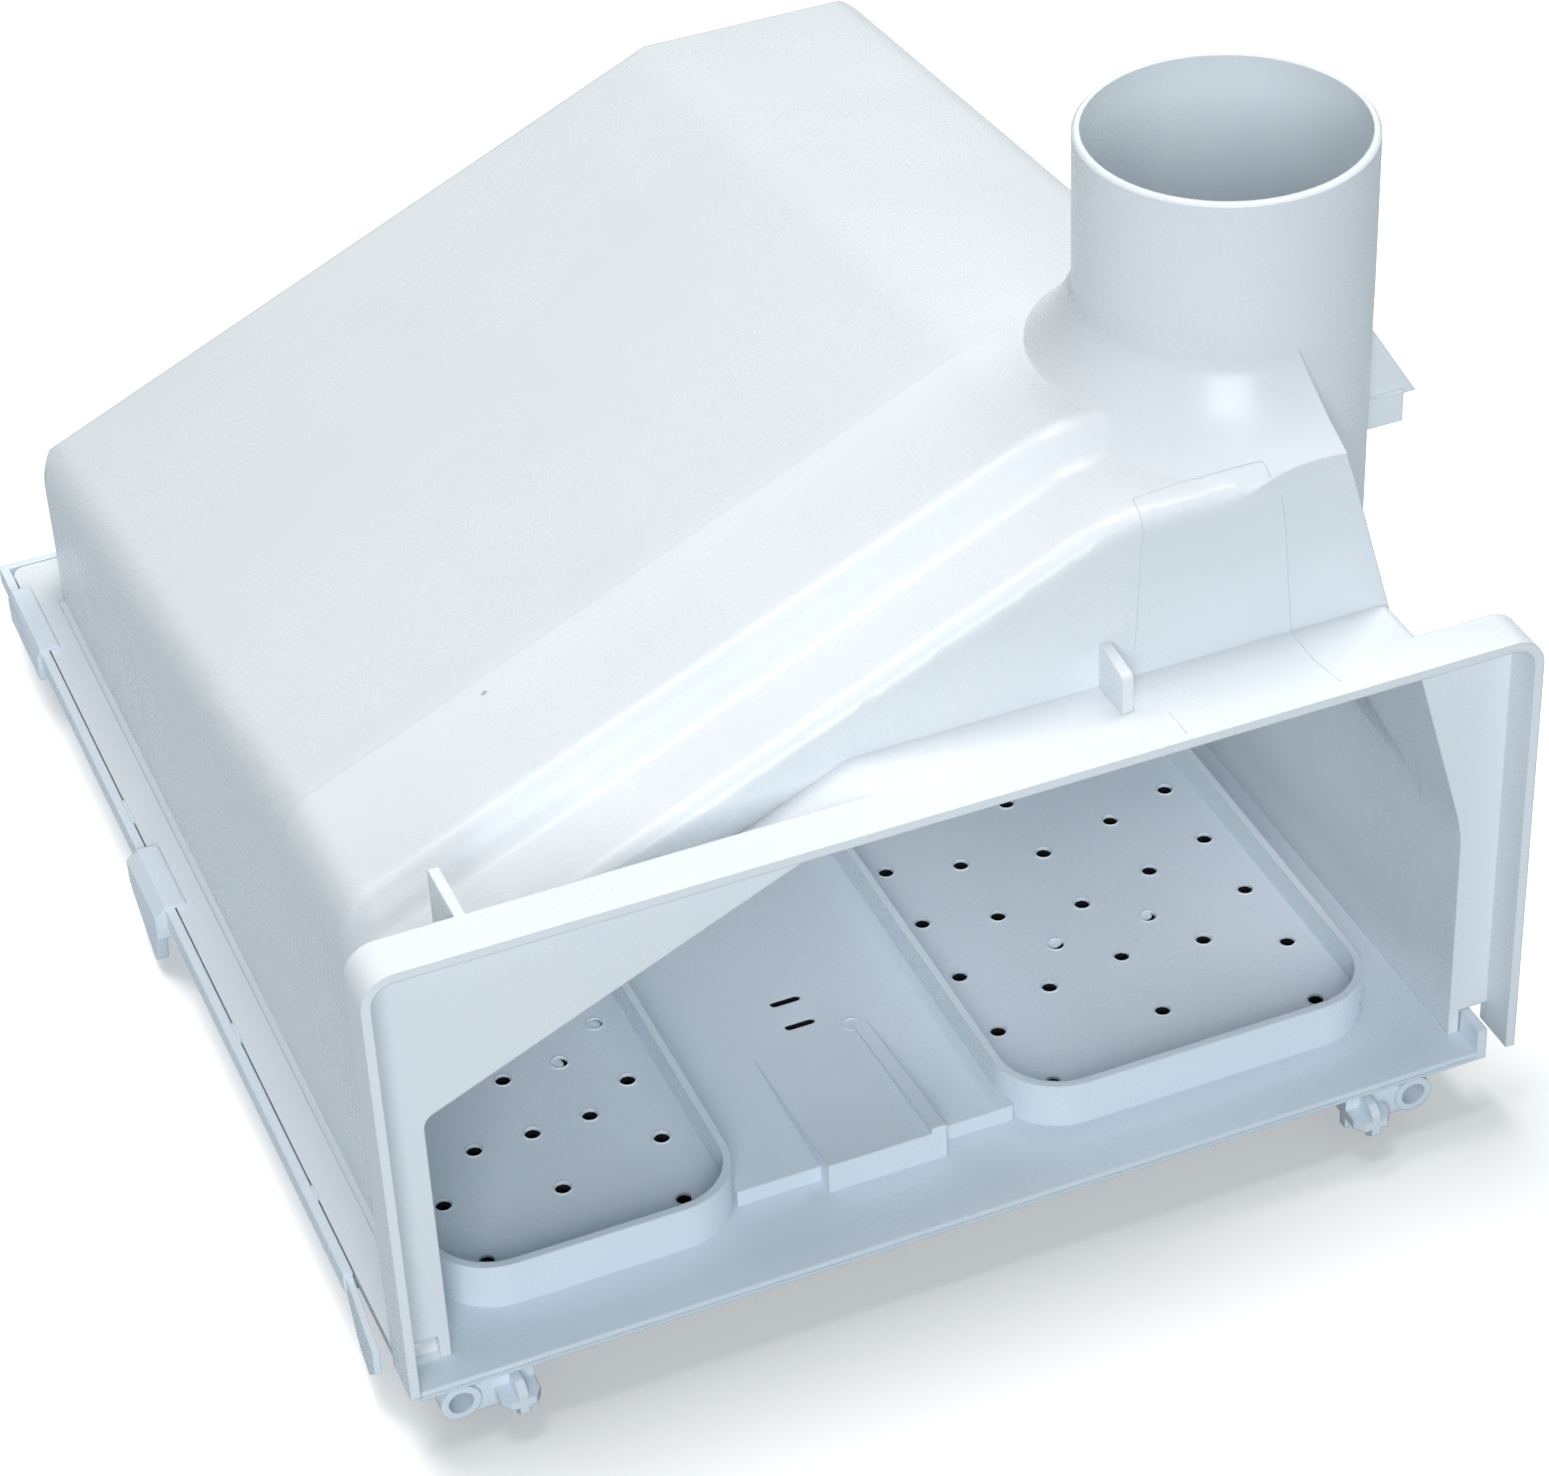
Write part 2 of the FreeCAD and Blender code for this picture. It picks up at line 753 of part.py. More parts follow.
def boss_group(x, turn):
    """Screw boss with a cross pin beside it, hung from the lip; turn is the side the pin is on."""
    pin_x = x + turn * pin_inset
    back = boss_front_y + boss_length
    boss = Part.makeCylinder(boss_radius, boss_length, V(x, boss_front_y, boss_z), V(0, 1, 0))
    seat = -plate_wall + overlap
    hanger = box(x - hanger_wall / 2, x + hanger_wall / 2, hanger_front_y, back, boss_z, seat)
    half = pin_size / 2
    low, high, window = -plate_wall - web_drop, -plate_wall - web_window_drop, x + turn * web_window
    end = pin_x + turn * half
    web = front_prism([(x, low, 0), (end, low, 0), (end, seat, 0), (window, seat, 0), (window, high, 0),
                       (x, high, 0)], web_y, web_y + web_wall)
    tip = pin_front_y + pin_tip_taper
    cross = []
    for upright in (True, False):
        outline = [(-half, pin_back_y, 0), (-half, tip, 0), (-pin_tip_half, pin_front_y, 0),
                   (pin_tip_half, pin_front_y, 0), (half, tip, 0), (half, pin_back_y, 0)]
        rib = plan_prism(outline, -pin_rib / 2, pin_rib / 2)
        if upright:
            rib.rotate(V(0, 0, 0), V(0, 1, 0), 90)
        rib.translate(V(pin_x, 0, pin_z))
        cross.append(rib)
    lift = box(pin_x - pin_rib / 2, pin_x + pin_rib / 2, pin_root_y, pin_back_y, pin_z, seat)
    return [boss, hanger, web, lift] + cross


def boss_hole(x):
    front = V(x, boss_front_y - overlap, boss_z)
    return Part.makeCylinder(boss_hole_radius, boss_hole_depth + overlap, front, V(0, 1, 0))


def rim_outside():
    return flange_left - rim_gap - rim_wall


def hook(y, length, wall):
    """Clip on the plate's left rim whose nose lies on the housing's flange."""
    outer = rim_outside()
    inner = outer + rim_wall
    top = flange_thick + hook_height
    outline = [
        (outer - wall, -hook_drop, 0),
        (inner, -hook_drop, 0),
        (inner, flange_thick, 0),
        (outer + hook_reach, flange_thick, 0),
        (outer + hook_reach - hook_bevel, top, 0),
        (outer, top, 0),
        (outer - wall, flange_thick - hook_shoulder, 0),
    ]
    return front_prism(outline, y, y + length)


def prong():
    """Tapered tongue that hangs from the middle hook."""
    outer = rim_outside()
    front = middle_hook_y + prong_inset
    back = middle_hook_y + middle_hook_length - prong_inset
    root, tip = -hook_drop + overlap, -hook_drop - prong_drop
    tip_y = front + prong_tip_inset
    outline = [(front, root, 0), (back, root, 0), (back, -hook_drop - prong_shoulder, 0),
               (tip_y + prong_tip, tip, 0), (tip_y, tip, 0)]
    return side_prism(outline, outer - middle_hook_wall, outer)


def front_tab():
    """Latch that springs forward from the end of the left rim and stands off from the flange."""
    root_y = left_rim_front_y + overlap
    inner = flange_left - rim_gap
    tip = inner - front_tab_offset
    plan = [(inner, root_y, 0), (inner - front_tab_wall, root_y, 0), (tip - front_tab_wall, front_tab_y, 0),
            (tip, front_tab_y, 0)]
    root = -plate_wall - front_tab_root_drop
    foot = -plate_wall - front_tab_drop
    foot_y = front_tab_y + front_tab_foot_inset
    side = [(front_tab_y, front_tab_rise, 0), (root_y, front_tab_rise, 0), (root_y, root, 0),
            (foot_y + front_tab_foot, foot, 0), (foot_y, foot, 0), (front_tab_y, root, 0)]
    reach = plan_prism(plan, foot, front_tab_rise)
    return reach.common(side_prism(side, tip - front_tab_wall, inner))


def plate_rim():
    left = rim_outside()
    right = body_right + rim_gap
    back = flange_back + rim_gap
    base = box(lip_left, right + rim_wall, lip_y, back + rim_wall, -plate_wall, 0)
    side = box(left, lip_left + overlap, left_rim_front_y, back + rim_wall, -plate_wall, 0)
    left_rim = box(left, left + rim_wall, left_rim_front_y, back + rim_wall, -plate_wall, flange_thick)
    back_rim = box(left, right, back, back + rim_wall, -plate_wall, flange_thick)
    right_rim = box(right, right + rim_wall, lip_y, back + rim_wall, -plate_wall,
                    front_plate_foot - rim_gap)
    groove = box(lip_left - overlap, right + rim_wall + overlap, lip_y - overlap, lip_y + lip_groove,
                 lip_groove_z, lip_groove_z + lip_groove)
    return [base.cut(groove), side, left_rim, back_rim, right_rim]


def spray_plate():
    bay_left, bay_right = bay_ends()
    bay = box(bay_left - overlap, bay_right + overlap, bay_front_y, bay_back_y, -plate_wall, floor_z)
    bay_pocket = box(bay_left, bay_right, bay_front_y + curb_wall, bay_back_y - curb_wall,
                     -plate_wall - overlap, floor_z - plate_wall)
    raised = wells(0, -plate_wall, curb_z) + [bay] + wedge()
    shape = fused(plate_rim() + raised)
    pockets = wells(curb_wall, floor_z, curb_z + overlap)
    pockets += wells(curb_wall, -plate_wall - overlap, floor_z - plate_wall)
    pockets += [bay_pocket, wedge_pocket()]
    shape = shape.cut(Part.makeCompound(pockets[:2])).cut(fused(pockets[2:]))
    shape = shape.cut(Part.makeCompound(shower_holes() + slots()))
    added = boss_group(left_boss_x, 1) + boss_group(right_boss_x, -1) + [prong(), front_tab()]
    added.append(hook(middle_hook_y, middle_hook_length, middle_hook_wall))
    added.append(hook(back_hook_y, back_hook_length, back_hook_wall))
    shape = fused([shape] + added)
    return shape.cut(boss_hole(left_boss_x)).cut(boss_hole(right_boss_x)).removeSplitter()


def cover_front():
    return boss_front_y + boss_length + cover_front_gap


def cover_block(inset, top):
    """Shallow block with round corners and a sloping front that stays behind the front lip."""
    left, right = cover_left + inset, cover_right - inset
    front, back = cover_front() + inset, cover_back_y - inset
    floor = inset - plate_wall - cover_depth
    block = slab(left, right, front, back, floor, top, cover_corner - inset)
    slope = [(front, floor, 0), (front + cover_slope_depth, floor, 0), (front, floor + cover_slope_rise, 0)]
    return block.cut(side_prism(slope, left, right))


def cover_dividers():
    """Walls under the curbs beside the middle bay that keep the water of each well apart."""
    walls = []
    for x in bay_ends():
        walls.append(box(x - divider_wall / 2, x + divider_wall / 2, cover_front(),
                         cover_back_y - divider_gap_y, -plate_wall - cover_depth, -plate_wall))
    return walls


def inlet_places():
    return [inlet_first_x + k * inlet_pitch for k in range(inlet_count)]


def distributor_cover():
    z = -plate_wall - cover_depth / 2
    stubs = []
    bores = []
    for x in inlet_places():
        root = V(x, cover_back_y - overlap, z)
        stubs.append(Part.makeCylinder(inlet_radius, inlet_length + overlap, root, V(0, 1, 0)))
        inside = V(x, cover_back_y - cover_wall - cut_room, z)
        bore_length = cover_wall + inlet_length + 2 * cut_room
        bores.append(Part.makeCylinder(inlet_bore_radius, bore_length, inside, V(0, 1, 0)))
    chamber = cover_block(cover_wall, 0).cut(Part.makeCompound(cover_dividers()))
    shape = fused([cover_block(0, -plate_wall)] + stubs)
    return shape.cut(chamber).cut(Part.makeCompound(bores)).removeSplitter()


def main():
    parts = {
        "housing": housing(),
        "spray_plate": spray_plate(),
        "distributor_cover": distributor_cover(),
    }
    bounds = Part.makeCompound(list(parts.values())).optimalBoundingBox(False, False)
    shift = V(-bounds.Center.x, -bounds.Center.y, -bounds.ZMin)
    os.makedirs("parts", exist_ok=True)
    for name, shape in parts.items():
        shape.translate(shift)
        shape.exportStep(os.path.join("parts", name + ".step"))


main()
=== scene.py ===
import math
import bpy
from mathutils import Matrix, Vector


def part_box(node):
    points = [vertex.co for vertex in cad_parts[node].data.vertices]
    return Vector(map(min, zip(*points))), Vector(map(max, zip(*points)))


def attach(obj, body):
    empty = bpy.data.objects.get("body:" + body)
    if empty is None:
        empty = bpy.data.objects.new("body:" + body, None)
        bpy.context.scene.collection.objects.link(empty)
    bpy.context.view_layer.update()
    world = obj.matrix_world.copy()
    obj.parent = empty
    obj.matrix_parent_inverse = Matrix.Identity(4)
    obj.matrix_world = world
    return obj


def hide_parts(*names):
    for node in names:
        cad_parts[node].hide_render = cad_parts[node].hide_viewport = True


bl_info = {
    "name": "Detergent Dispenser Housing",
    "version": (1, 0, 0),
    "blender": (4, 5, 0),
    "location": "View3D > Sidebar > Dispenser",
    "description": "Dresses the packed dispenser housing in moulded white plastic and sets its stage",
    "category": "Object",
}

import bmesh
import bpy
from mathutils import Matrix, Vector
from mathutils.bvhtree import BVHTree

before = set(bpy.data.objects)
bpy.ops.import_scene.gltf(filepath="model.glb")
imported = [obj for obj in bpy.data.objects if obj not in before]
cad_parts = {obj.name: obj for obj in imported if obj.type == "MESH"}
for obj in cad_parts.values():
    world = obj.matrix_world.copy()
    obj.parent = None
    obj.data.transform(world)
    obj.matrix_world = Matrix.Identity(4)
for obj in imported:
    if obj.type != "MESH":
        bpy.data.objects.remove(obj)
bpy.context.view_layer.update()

MM = 0.001
WELD = 0.004 * MM
HOOD_CORNER = Vector(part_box("housing")[0])
WHITE = (1.0, 1.0, 1.0)

# The photograph: its size in pixels, a sensor width to write the focal length with, and the
# camera's place in millimetres from the hood's lowest front left corner
PHOTO_WIDTH = 1549
PHOTO_HEIGHT = 1476
SENSOR_MM = 36.0
CAMERA_PLACE = (-123.34, -517.90, 540.22)
CAMERA_REACH = 50.0

# Lines that the mould's insert left round the panel below the outlet, as pixels of the photograph
INSERT_LEFT = ((1133, 499), (1140, 514), (1144, 533), (1141, 548), (1138, 600), (1135, 649))
INSERT_TOP = (
    (1133, 499), (1164, 488), (1206, 475), (1257, 461), (1263, 461), (1267, 466), (1270, 476),
)
INSERT_RIGHT = ((1281, 495), (1285, 523), (1287, 556), (1291, 633))
SHELF_LEFT = ((1170, 713), (1187, 733))
SHELF_RIGHT = ((1293, 635), (1314, 660), (1341, 682))
INSERT_LINES = (INSERT_LEFT, INSERT_TOP, INSERT_RIGHT, SHELF_LEFT, SHELF_RIGHT)
LINE_STEP = 3.0
LINE_SIDES = 8

# The one larger speck, and the soft crease along the roof's front where a painted highlight strip and
# a painted shade line go, as pixels of the photograph
ROOF_SPECK = (484, 693)
CREASE_LEFT = (305, 797)
CREASE_MIDDLE = (640, 575)
CREASE_RIGHT = (960, 352)

# The joint between flange and rim, and where each tie across it starts and ends, in millimetres
# from the hood's corner
JOINT_X = 0.35
JOINT_Z = 1.95
TIES = ((52.4, 56.1), (99.6, 105.2), (172.7, 180.2))
TIE_SIDES = 12

# The holes that flash closes in part, in millimetres from the hood's corner, each with the way
# that the flash lies to one side
PART_CLOSED = (
    (149.4, 58.3, 0.0, 0.9),
    (168.8, 58.3, -0.3, 0.9),
    (52.1, 67.0, -0.75, 0.15),
    (61.8, 74.4, -0.3, 0.0),
)
FILM_SIDES = 24
FILM_LAYERS = 2
FILM_RINGS = 3
FILM_NOISE = 700.0
FILM_DETAIL = 1.0

# A hole's rim lies between a wall steeper and a floor flatter than these parts of an upright normal
STEEP_WALL = 0.1
FLAT_FLOOR = 0.9
COLLAR_STEPS = 24
COLLAR_SIDES = 8
COLLAR_SEED = 7

# Corners of the boxes painted near-black as shade, in millimetres from the hood's corner: inside the
# water cover, and under the wells and the bay down the holes' walls
COVER_SHADE_BOX = ((10.1, 26.0, -14.1), (200.9, 243.4, -0.5))
WELLS_SHADE_BOX = ((13.7, 22.8, -2.0), (194.7, 188.4, 3.0))

# The plastic's pattern: scales count patches in a metre, ramps are where a noise turns from one
# tone to the other, and weights are the shares of clouds and flow in the tone
NOISE_MIDDLE = 0.5
CLOUD_SCALE = 14.0
CLOUD_DETAIL = 3.0
CLOUD_ROUGHNESS = 0.55
CLOUD_RAMP = (0.3, 0.7)
CLOUD_WEIGHT = 0.7
CLOUD_GLOSS = 0.10
FLOW_STRETCH = (1.0, 0.12, 0.35)
FLOW_SCALE = 90.0
FLOW_DETAIL = 2.0
FLOW_RAMP = (0.35, 0.65)
FLOW_WEIGHT = 0.3
GRAIN_DETAIL = 2.0
GRAIN_DEPTH = 0.2 * MM
GRAIN_GLOSS = 0.08
WAVE_SCALE = 38.0
WAVE_DETAIL = 1.0
WAVE_DEPTH = 2.0 * MM
SPECK_CORE = 0.5
ROOF_SPECK_CORE = 0.4
EDGE_SAMPLES = 6
PLASTIC_IOR = 1.49
FLAT_WEIGHT = 100

# What the lamps light, and each lamp's place and side in metres, its tone and what it lights
PIECES = "dispenser"
GROUND = "ground"
TOP_LAMP = ((0.0, 0.0, 1.7), 0.5, (1.0, 0.85, 0.84), PIECES)
SIDE_LAMP = ((0.75, 0.35, 1.65), 1.0, (0.99, 1.0, 0.97), PIECES)
LEFT_LAMP = ((-0.5, -1.5, 0.78), 0.8, (0.95, 0.965, 0.985), PIECES)
GLINT_LAMP = ((-0.58, 0.45, 1.5), 0.3, (1.0, 1.0, 0.94), PIECES)
FLOOR_LAMP = ((-0.14, 0.2, 1.5), 0.9, WHITE, GROUND)
LAMP_AIM = (0.0, 0.0, 0.08)

# The weak lamp inside the drawer bay: its place and aim in millimetres from the hood's corner, and
# its side in metres
BAY_LAMP_PLACE = (112.0, 75.0, 66.0)
BAY_LAMP_AIM = (106.0, 110.0, 0.0)
BAY_LAMP_SIDE = 0.08


def from_hood(x, y, z):
    """A point given in millimetres from the hood's lowest front left corner."""
    return HOOD_CORNER + Vector((x, y, z)) * MM


class Wire:
    """One output in a node tree; arithmetic on it adds Math nodes, and make adds any other node."""

    def __init__(self, tree, socket=None):
        self.tree = tree
        self.socket = socket

    def make(self, kind, settings=None, values=None, out=0):
        """A new node with its settings made first, then its sockets given values or links."""
        node = self.tree.nodes.new(kind)
        for name, value in (settings or {}).items():
            setattr(node, name, value)
        for name, value in (values or {}).items():
            if isinstance(value, Wire):
                self.tree.links.new(value.socket, node.inputs[name])
            else:
                node.inputs[name].default_value = value
        return Wire(self.tree, node.outputs[out] if len(node.outputs) else None)

    def beside(self, out):
        """Another output of the node that this one comes from."""
        return Wire(self.tree, self.socket.node.outputs[out])

    def math(self, operation, first, second=0.0):
        return self.make("ShaderNodeMath", {"operation": operation}, {0: first, 1: second})

    def vector(self, operation, first, second, out=0):
        return self.make("ShaderNodeVectorMath", {"operation": operation},
                         {0: first, 1: second}, out)

    def __add__(self, other):
        return self.math("ADD", self, other)

    def __sub__(self, other):
        return self.math("SUBTRACT", self, other)

    def __rsub__(self, other):
        return self.math("SUBTRACT", other, self)

    def __mul__(self, other):
        return self.math("MULTIPLY", self, other)

    __radd__ = __add__
    __rmul__ = __mul__

    def above(self, limit):
        return self.math("GREATER_THAN", self, limit)

    def below(self, limit):
        return self.math("LESS_THAN", self, limit)

    def larger(self, other):
        return self.math("MAXIMUM", self, other)

    def ramp(self, low, high):
        """0 at low and below, 1 at high and above, smooth between."""
        return self.make("ShaderNodeMapRange", {"interpolation_type": "SMOOTHSTEP"},
                         {"Value": self, "From Min": low, "From Max": high})

    def blend(self, first, second):
        """Two colours mixed by this share of the second."""
        return self.make("ShaderNodeMix", {"data_type": "RGBA"},
                         {"Factor": self, 6: first, 7: second}, 2)


def colour(value):
    """A colour with full cover, as a socket takes it."""
    return (*value, 1.0)


def new_material(name):
    """A material without nodes, and the start of its tree."""
    material = bpy.data.materials.new(name)
    material.use_nodes = True
    material.node_tree.nodes.clear()
    return material, Wire(material.node_tree)


def within(place, low, high):
    """1 inside a box with two given corners and 0 outside it."""
    across = place.make("ShaderNodeSeparateXYZ", {}, {0: place})
    inside = 1.0
    for part, least, most in zip((across, across.beside(1), across.beside(2)), low, high):
        inside = part.above(least) * part.below(most) * inside
    return inside


def crease_masks(place, crease, sizes):
    """The painted highlight strip in front of the roof's crease, which fades forwards, and the
    crease's fine line of painted shade.
    """
    start, end, above = crease
    along = (end - start).normalized()
    ahead = along.cross(above).normalized()
    offset = place.vector("SUBTRACT", place, start)
    run, lead, rise = [offset.vector("DOT_PRODUCT", offset, way, 1)
                       for way in (along, ahead, along.cross(ahead))]
    length = (end - start).length
    roof = rise.above(-sizes.crease_depth) * rise.below(sizes.crease_depth)
    ended = run.ramp(length, length + sizes.crease_end)
    kept = roof * run.ramp(-sizes.crease_end, 0.0) * (1 - ended)
    faded = lead.ramp(0.0, sizes.crease_strip)
    painted_light_strip = lead.ramp(-sizes.crease_line, sizes.crease_line) * (1 - faded)
    line = 1 - lead.math("ABSOLUTE", lead).ramp(0.0, sizes.crease_line)
    return kept * painted_light_strip, kept * line


def noise(tree, place, scale, detail, **more):
    """Soft patches, so many in a metre."""
    return tree.make("ShaderNodeTexNoise", {},
                     {"Vector": place, "Scale": scale, "Detail": detail, **more})


def bump(tree, strength, depth, height, under):
    """A surface raised by a pattern over the one under it."""
    return tree.make("ShaderNodeBump", {}, {
        "Strength": strength, "Distance": depth, "Height": height, "Normal": under,
    })


def speck_mask(tree, place, look, sizes, roof_speck):
    """1 on the small dark inclusions, and on the larger one where the piece has it."""
    cells = tree.make("ShaderNodeTexVoronoi", {"feature": "F1"},
                      {"Vector": place, "Scale": look.speck_spread})
    drawn = tree.make("ShaderNodeSeparateColor", {}, {"Color": cells.beside(1)})
    core = look.speck_size * SPECK_CORE
    specks = drawn.above(look.speck_rarity) * (1 - cells.ramp(core, look.speck_size))
    if roof_speck is not None:
        reach = tree.vector("DISTANCE", place, roof_speck, 1)
        specks = specks.larger(1 - reach.ramp(sizes.speck * ROOF_SPECK_CORE, sizes.speck))
    return specks


def plastic(name, look, sizes, tones, roof_speck=None, crease=None):
    """Satin plastic: faint clouds and flow along the draw, fine grain and a few dark specks, painted
    near-black shade in the closed spaces and, where a crease is given, a painted highlight strip and
    painted shade line along it.
    """
    material, tree = new_material(name)
    place = tree.make("ShaderNodeTexCoord", out=3)
    clouds = noise(tree, place, CLOUD_SCALE, CLOUD_DETAIL, Roughness=CLOUD_ROUGHNESS)
    stretched = tree.make("ShaderNodeMapping", {}, {"Vector": place, "Scale": FLOW_STRETCH})
    flow = noise(tree, stretched, FLOW_SCALE, FLOW_DETAIL)
    specks = speck_mask(tree, place, look, sizes, roof_speck)
    shade = clouds.ramp(*CLOUD_RAMP) * CLOUD_WEIGHT + flow.ramp(*FLOW_RAMP) * FLOW_WEIGHT
    body = shade.blend(colour(tones[1]), colour(tones[0]))
    body = (specks * look.speck_strength).blend(body, colour(look.speck))
    # Painted light and shade: a paler strip in front of the crease and a darker line on it, in place
    # of the light and shade of the crease's slight turn
    if crease is not None:
        painted_light_strip, line = crease_masks(place, crease, sizes)
        body = (painted_light_strip * look.painted_strip_highlight).blend(body, colour(WHITE))
        body = (line * look.painted_crease_shade).blend(body, colour(look.speck))
    # Painted shade: the closed spaces and the holes' walls are coloured near-black in place of their
    # shade
    for low, high in (COVER_SHADE_BOX, WELLS_SHADE_BOX):
        inside = within(place, from_hood(*low), from_hood(*high))
        body = inside.blend(body, colour(look.painted_chamber_shade))
    grain = noise(tree, place, look.grain_scale, GRAIN_DETAIL)
    waves = noise(tree, place, WAVE_SCALE, WAVE_DETAIL)
    edges = tree.make("ShaderNodeBevel", {"samples": EDGE_SAMPLES}, {"Radius": sizes.soften})
    skin = bump(tree, look.grain, GRAIN_DEPTH, grain, edges)
    skin = bump(tree, look.waviness, WAVE_DEPTH, waves, skin)
    cloud_gloss = (clouds - NOISE_MIDDLE) * CLOUD_GLOSS
    grain_gloss = (grain - NOISE_MIDDLE) * GRAIN_GLOSS
    shader = tree.make("ShaderNodeBsdfPrincipled", {}, {
        "Base Color": body,
        "Roughness": look.roughness + cloud_gloss + grain_gloss,
        "Normal": skin,
        "IOR": PLASTIC_IOR,
        "Specular IOR Level": look.sheen,
    })
    tree.make("ShaderNodeOutputMaterial", {}, {"Surface": shader})
    return material


def moulded_mesh(node, smooth_angle):
    """A copy of a CAD node's mesh, its loose triangles joined and its flat faces shaded flat."""
    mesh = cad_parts[node].data.copy()
    work = bmesh.new()
    work.from_mesh(mesh)
    bmesh.ops.remove_doubles(work, verts=work.verts[:], dist=WELD)
    work.to_mesh(mesh)
    work.free()
    custom = mesh.attributes.get("custom_normal")
    if custom is not None:
        mesh.attributes.remove(custom)
    mesh.shade_smooth()
    mesh.set_sharp_from_angle(angle=smooth_angle)
    holder = bpy.data.objects.new("moulding", mesh)
    flat = holder.modifiers.new("flat faces", "WEIGHTED_NORMAL")
    flat.mode = "FACE_AREA"
    flat.weight = FLAT_WEIGHT
    flat.keep_sharp = True
    result = plain_mesh(holder)
    result.materials.clear()
    return result


def plain_mesh(holder):
    """What an object's modifiers make of it, as a plain mesh; the object itself goes."""
    bpy.context.scene.collection.objects.link(holder)
    view = bpy.context.evaluated_depsgraph_get()
    result = bpy.data.meshes.new_from_object(holder.evaluated_get(view))
    bpy.data.objects.remove(holder)
    return result


def piece_group(name):
    """The named collection that lamps are tied to."""
    return bpy.data.collections.get(name) or bpy.data.collections.new(name)


def add_piece(name, mesh, material=None, node=None):
    """A finished mesh as a piece of the part, in place of a CAD node where one is named."""
    if not mesh.polygons:
        raise RuntimeError(name + " has no faces")
    piece = bpy.data.objects.new(name, mesh)
    bpy.context.scene.collection.objects.link(piece)
    piece_group(PIECES).objects.link(piece)
    if material is not None:
        mesh.materials.append(material)
    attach(piece, "root")
    if node is not None:
        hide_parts(node)


def geometry_tree(name, inputs):
    """An empty tree of geometry nodes with a socket for each named input, and those as wires."""
    tree = bpy.data.node_groups.new(name, "GeometryNodeTree")
    for label, kind in {"Geometry": "Geometry", **inputs, "Material": "Material"}.items():
        tree.interface.new_socket(label, in_out="INPUT", socket_type="NodeSocket" + kind)
    tree.interface.new_socket("Geometry", in_out="OUTPUT", socket_type="NodeSocketGeometry")
    start = tree.nodes.new("NodeGroupInput")
    labels = ("Geometry", *inputs, "Material")
    return Wire(tree), {label: Wire(tree, start.outputs[label]) for label in labels}


def close_tree(tree, geometry, given):
    """The end of a tree: real faces, smooth, with the given material."""
    whole = tree.make("GeometryNodeRealizeInstances", {}, {"Geometry": geometry})
    smooth = tree.make("GeometryNodeSetShadeSmooth", {}, {"Geometry": whole})
    dressed = tree.make("GeometryNodeSetMaterial", {},
                        {"Geometry": smooth, "Material": given["Material"]})
    tree.make("NodeGroupOutput", {}, {"Geometry": dressed})


def grown(tree, mesh, values):
    """The plain mesh that a tree of geometry nodes makes from a mesh."""
    holder = bpy.data.objects.new("growth", mesh)
    growth = holder.modifiers.new("growth", "NODES")
    growth.node_group = tree.tree
    for item in tree.tree.interface.items_tree:
        if item.in_out == "INPUT" and item.name in values:
            growth[item.identifier] = values[item.name]
    return plain_mesh(holder)


def circle(tree, steps, radius):
    """A round curve for a path or a section."""
    return tree.make("GeometryNodeCurvePrimitiveCircle", {}, {"Resolution": steps, "Radius": radius})


def bead_tree():
    """A round bead along each path of a mesh of edges."""
    tree, given = geometry_tree("bead", {"Radius": "Float", "Sides": "Int"})
    path = tree.make("GeometryNodeMeshToCurve", {}, {"Mesh": given["Geometry"]})
    section = circle(tree, given["Sides"], given["Radius"])
    bead = tree.make("GeometryNodeCurveToMesh", {},
                     {"Curve": path, "Profile Curve": section, "Fill Caps": True})
    close_tree(tree, bead, given)
    return tree


def collar_tree():
    """A thin rounded collar at each point, each a little larger or smaller than the next."""
    tree, given = geometry_tree("collar", {
        "Radius": "Float", "Bead": "Float", "Spread": "Float", "Seed": "Int",
    })
    ring = circle(tree, COLLAR_STEPS, given["Radius"])
    section = circle(tree, COLLAR_SIDES, given["Bead"])
    collar = tree.make("GeometryNodeCurveToMesh", {}, {"Curve": ring, "Profile Curve": section})
    size = tree.make("FunctionNodeRandomValue", {"data_type": "FLOAT"},
                     {2: 1 - given["Spread"], 3: 1 + given["Spread"], "Seed": given["Seed"]}, 1)
    collars = tree.make("GeometryNodeInstanceOnPoints", {},
                        {"Points": given["Geometry"], "Instance": collar, "Scale": size})
    close_tree(tree, collars, given)
    return tree


def flash_tree():
    """A thin ragged film at each point."""
    tree, given = geometry_tree("flash", {
        "Radius": "Float", "Thickness": "Float", "Ragged": "Float",
    })
    film = tree.make("GeometryNodeMeshCylinder", {}, {
        "Vertices": FILM_SIDES, "Side Segments": FILM_LAYERS, "Fill Segments": FILM_RINGS,
        "Radius": given["Radius"], "Depth": given["Thickness"],
    })
    films = tree.make("GeometryNodeInstanceOnPoints", {},
                      {"Points": given["Geometry"], "Instance": film})
    whole = tree.make("GeometryNodeRealizeInstances", {}, {"Geometry": films})
    rough = tree.make("ShaderNodeTexNoise", {}, {"Scale": FILM_NOISE, "Detail": FILM_DETAIL}, 1)
    centred = tree.vector("SUBTRACT", rough, (NOISE_MIDDLE,) * 3)
    push = tree.make("ShaderNodeVectorMath", {"operation": "SCALE"},
                     {0: centred, "Scale": given["Ragged"]})
    ragged = tree.make("GeometryNodeSetPosition", {}, {"Geometry": whole, "Offset": push})
    close_tree(tree, ragged, given)
    return tree


def path_mesh(paths):
    """A mesh of edges through each list of points."""
    points, edges = [], []
    for path in paths:
        first = len(points)
        points += path
        edges += [(first + k, first + k + 1) for k in range(len(path) - 1)]
    mesh = bpy.data.meshes.new("paths")
    mesh.from_pydata(points, edges, [])
    return mesh


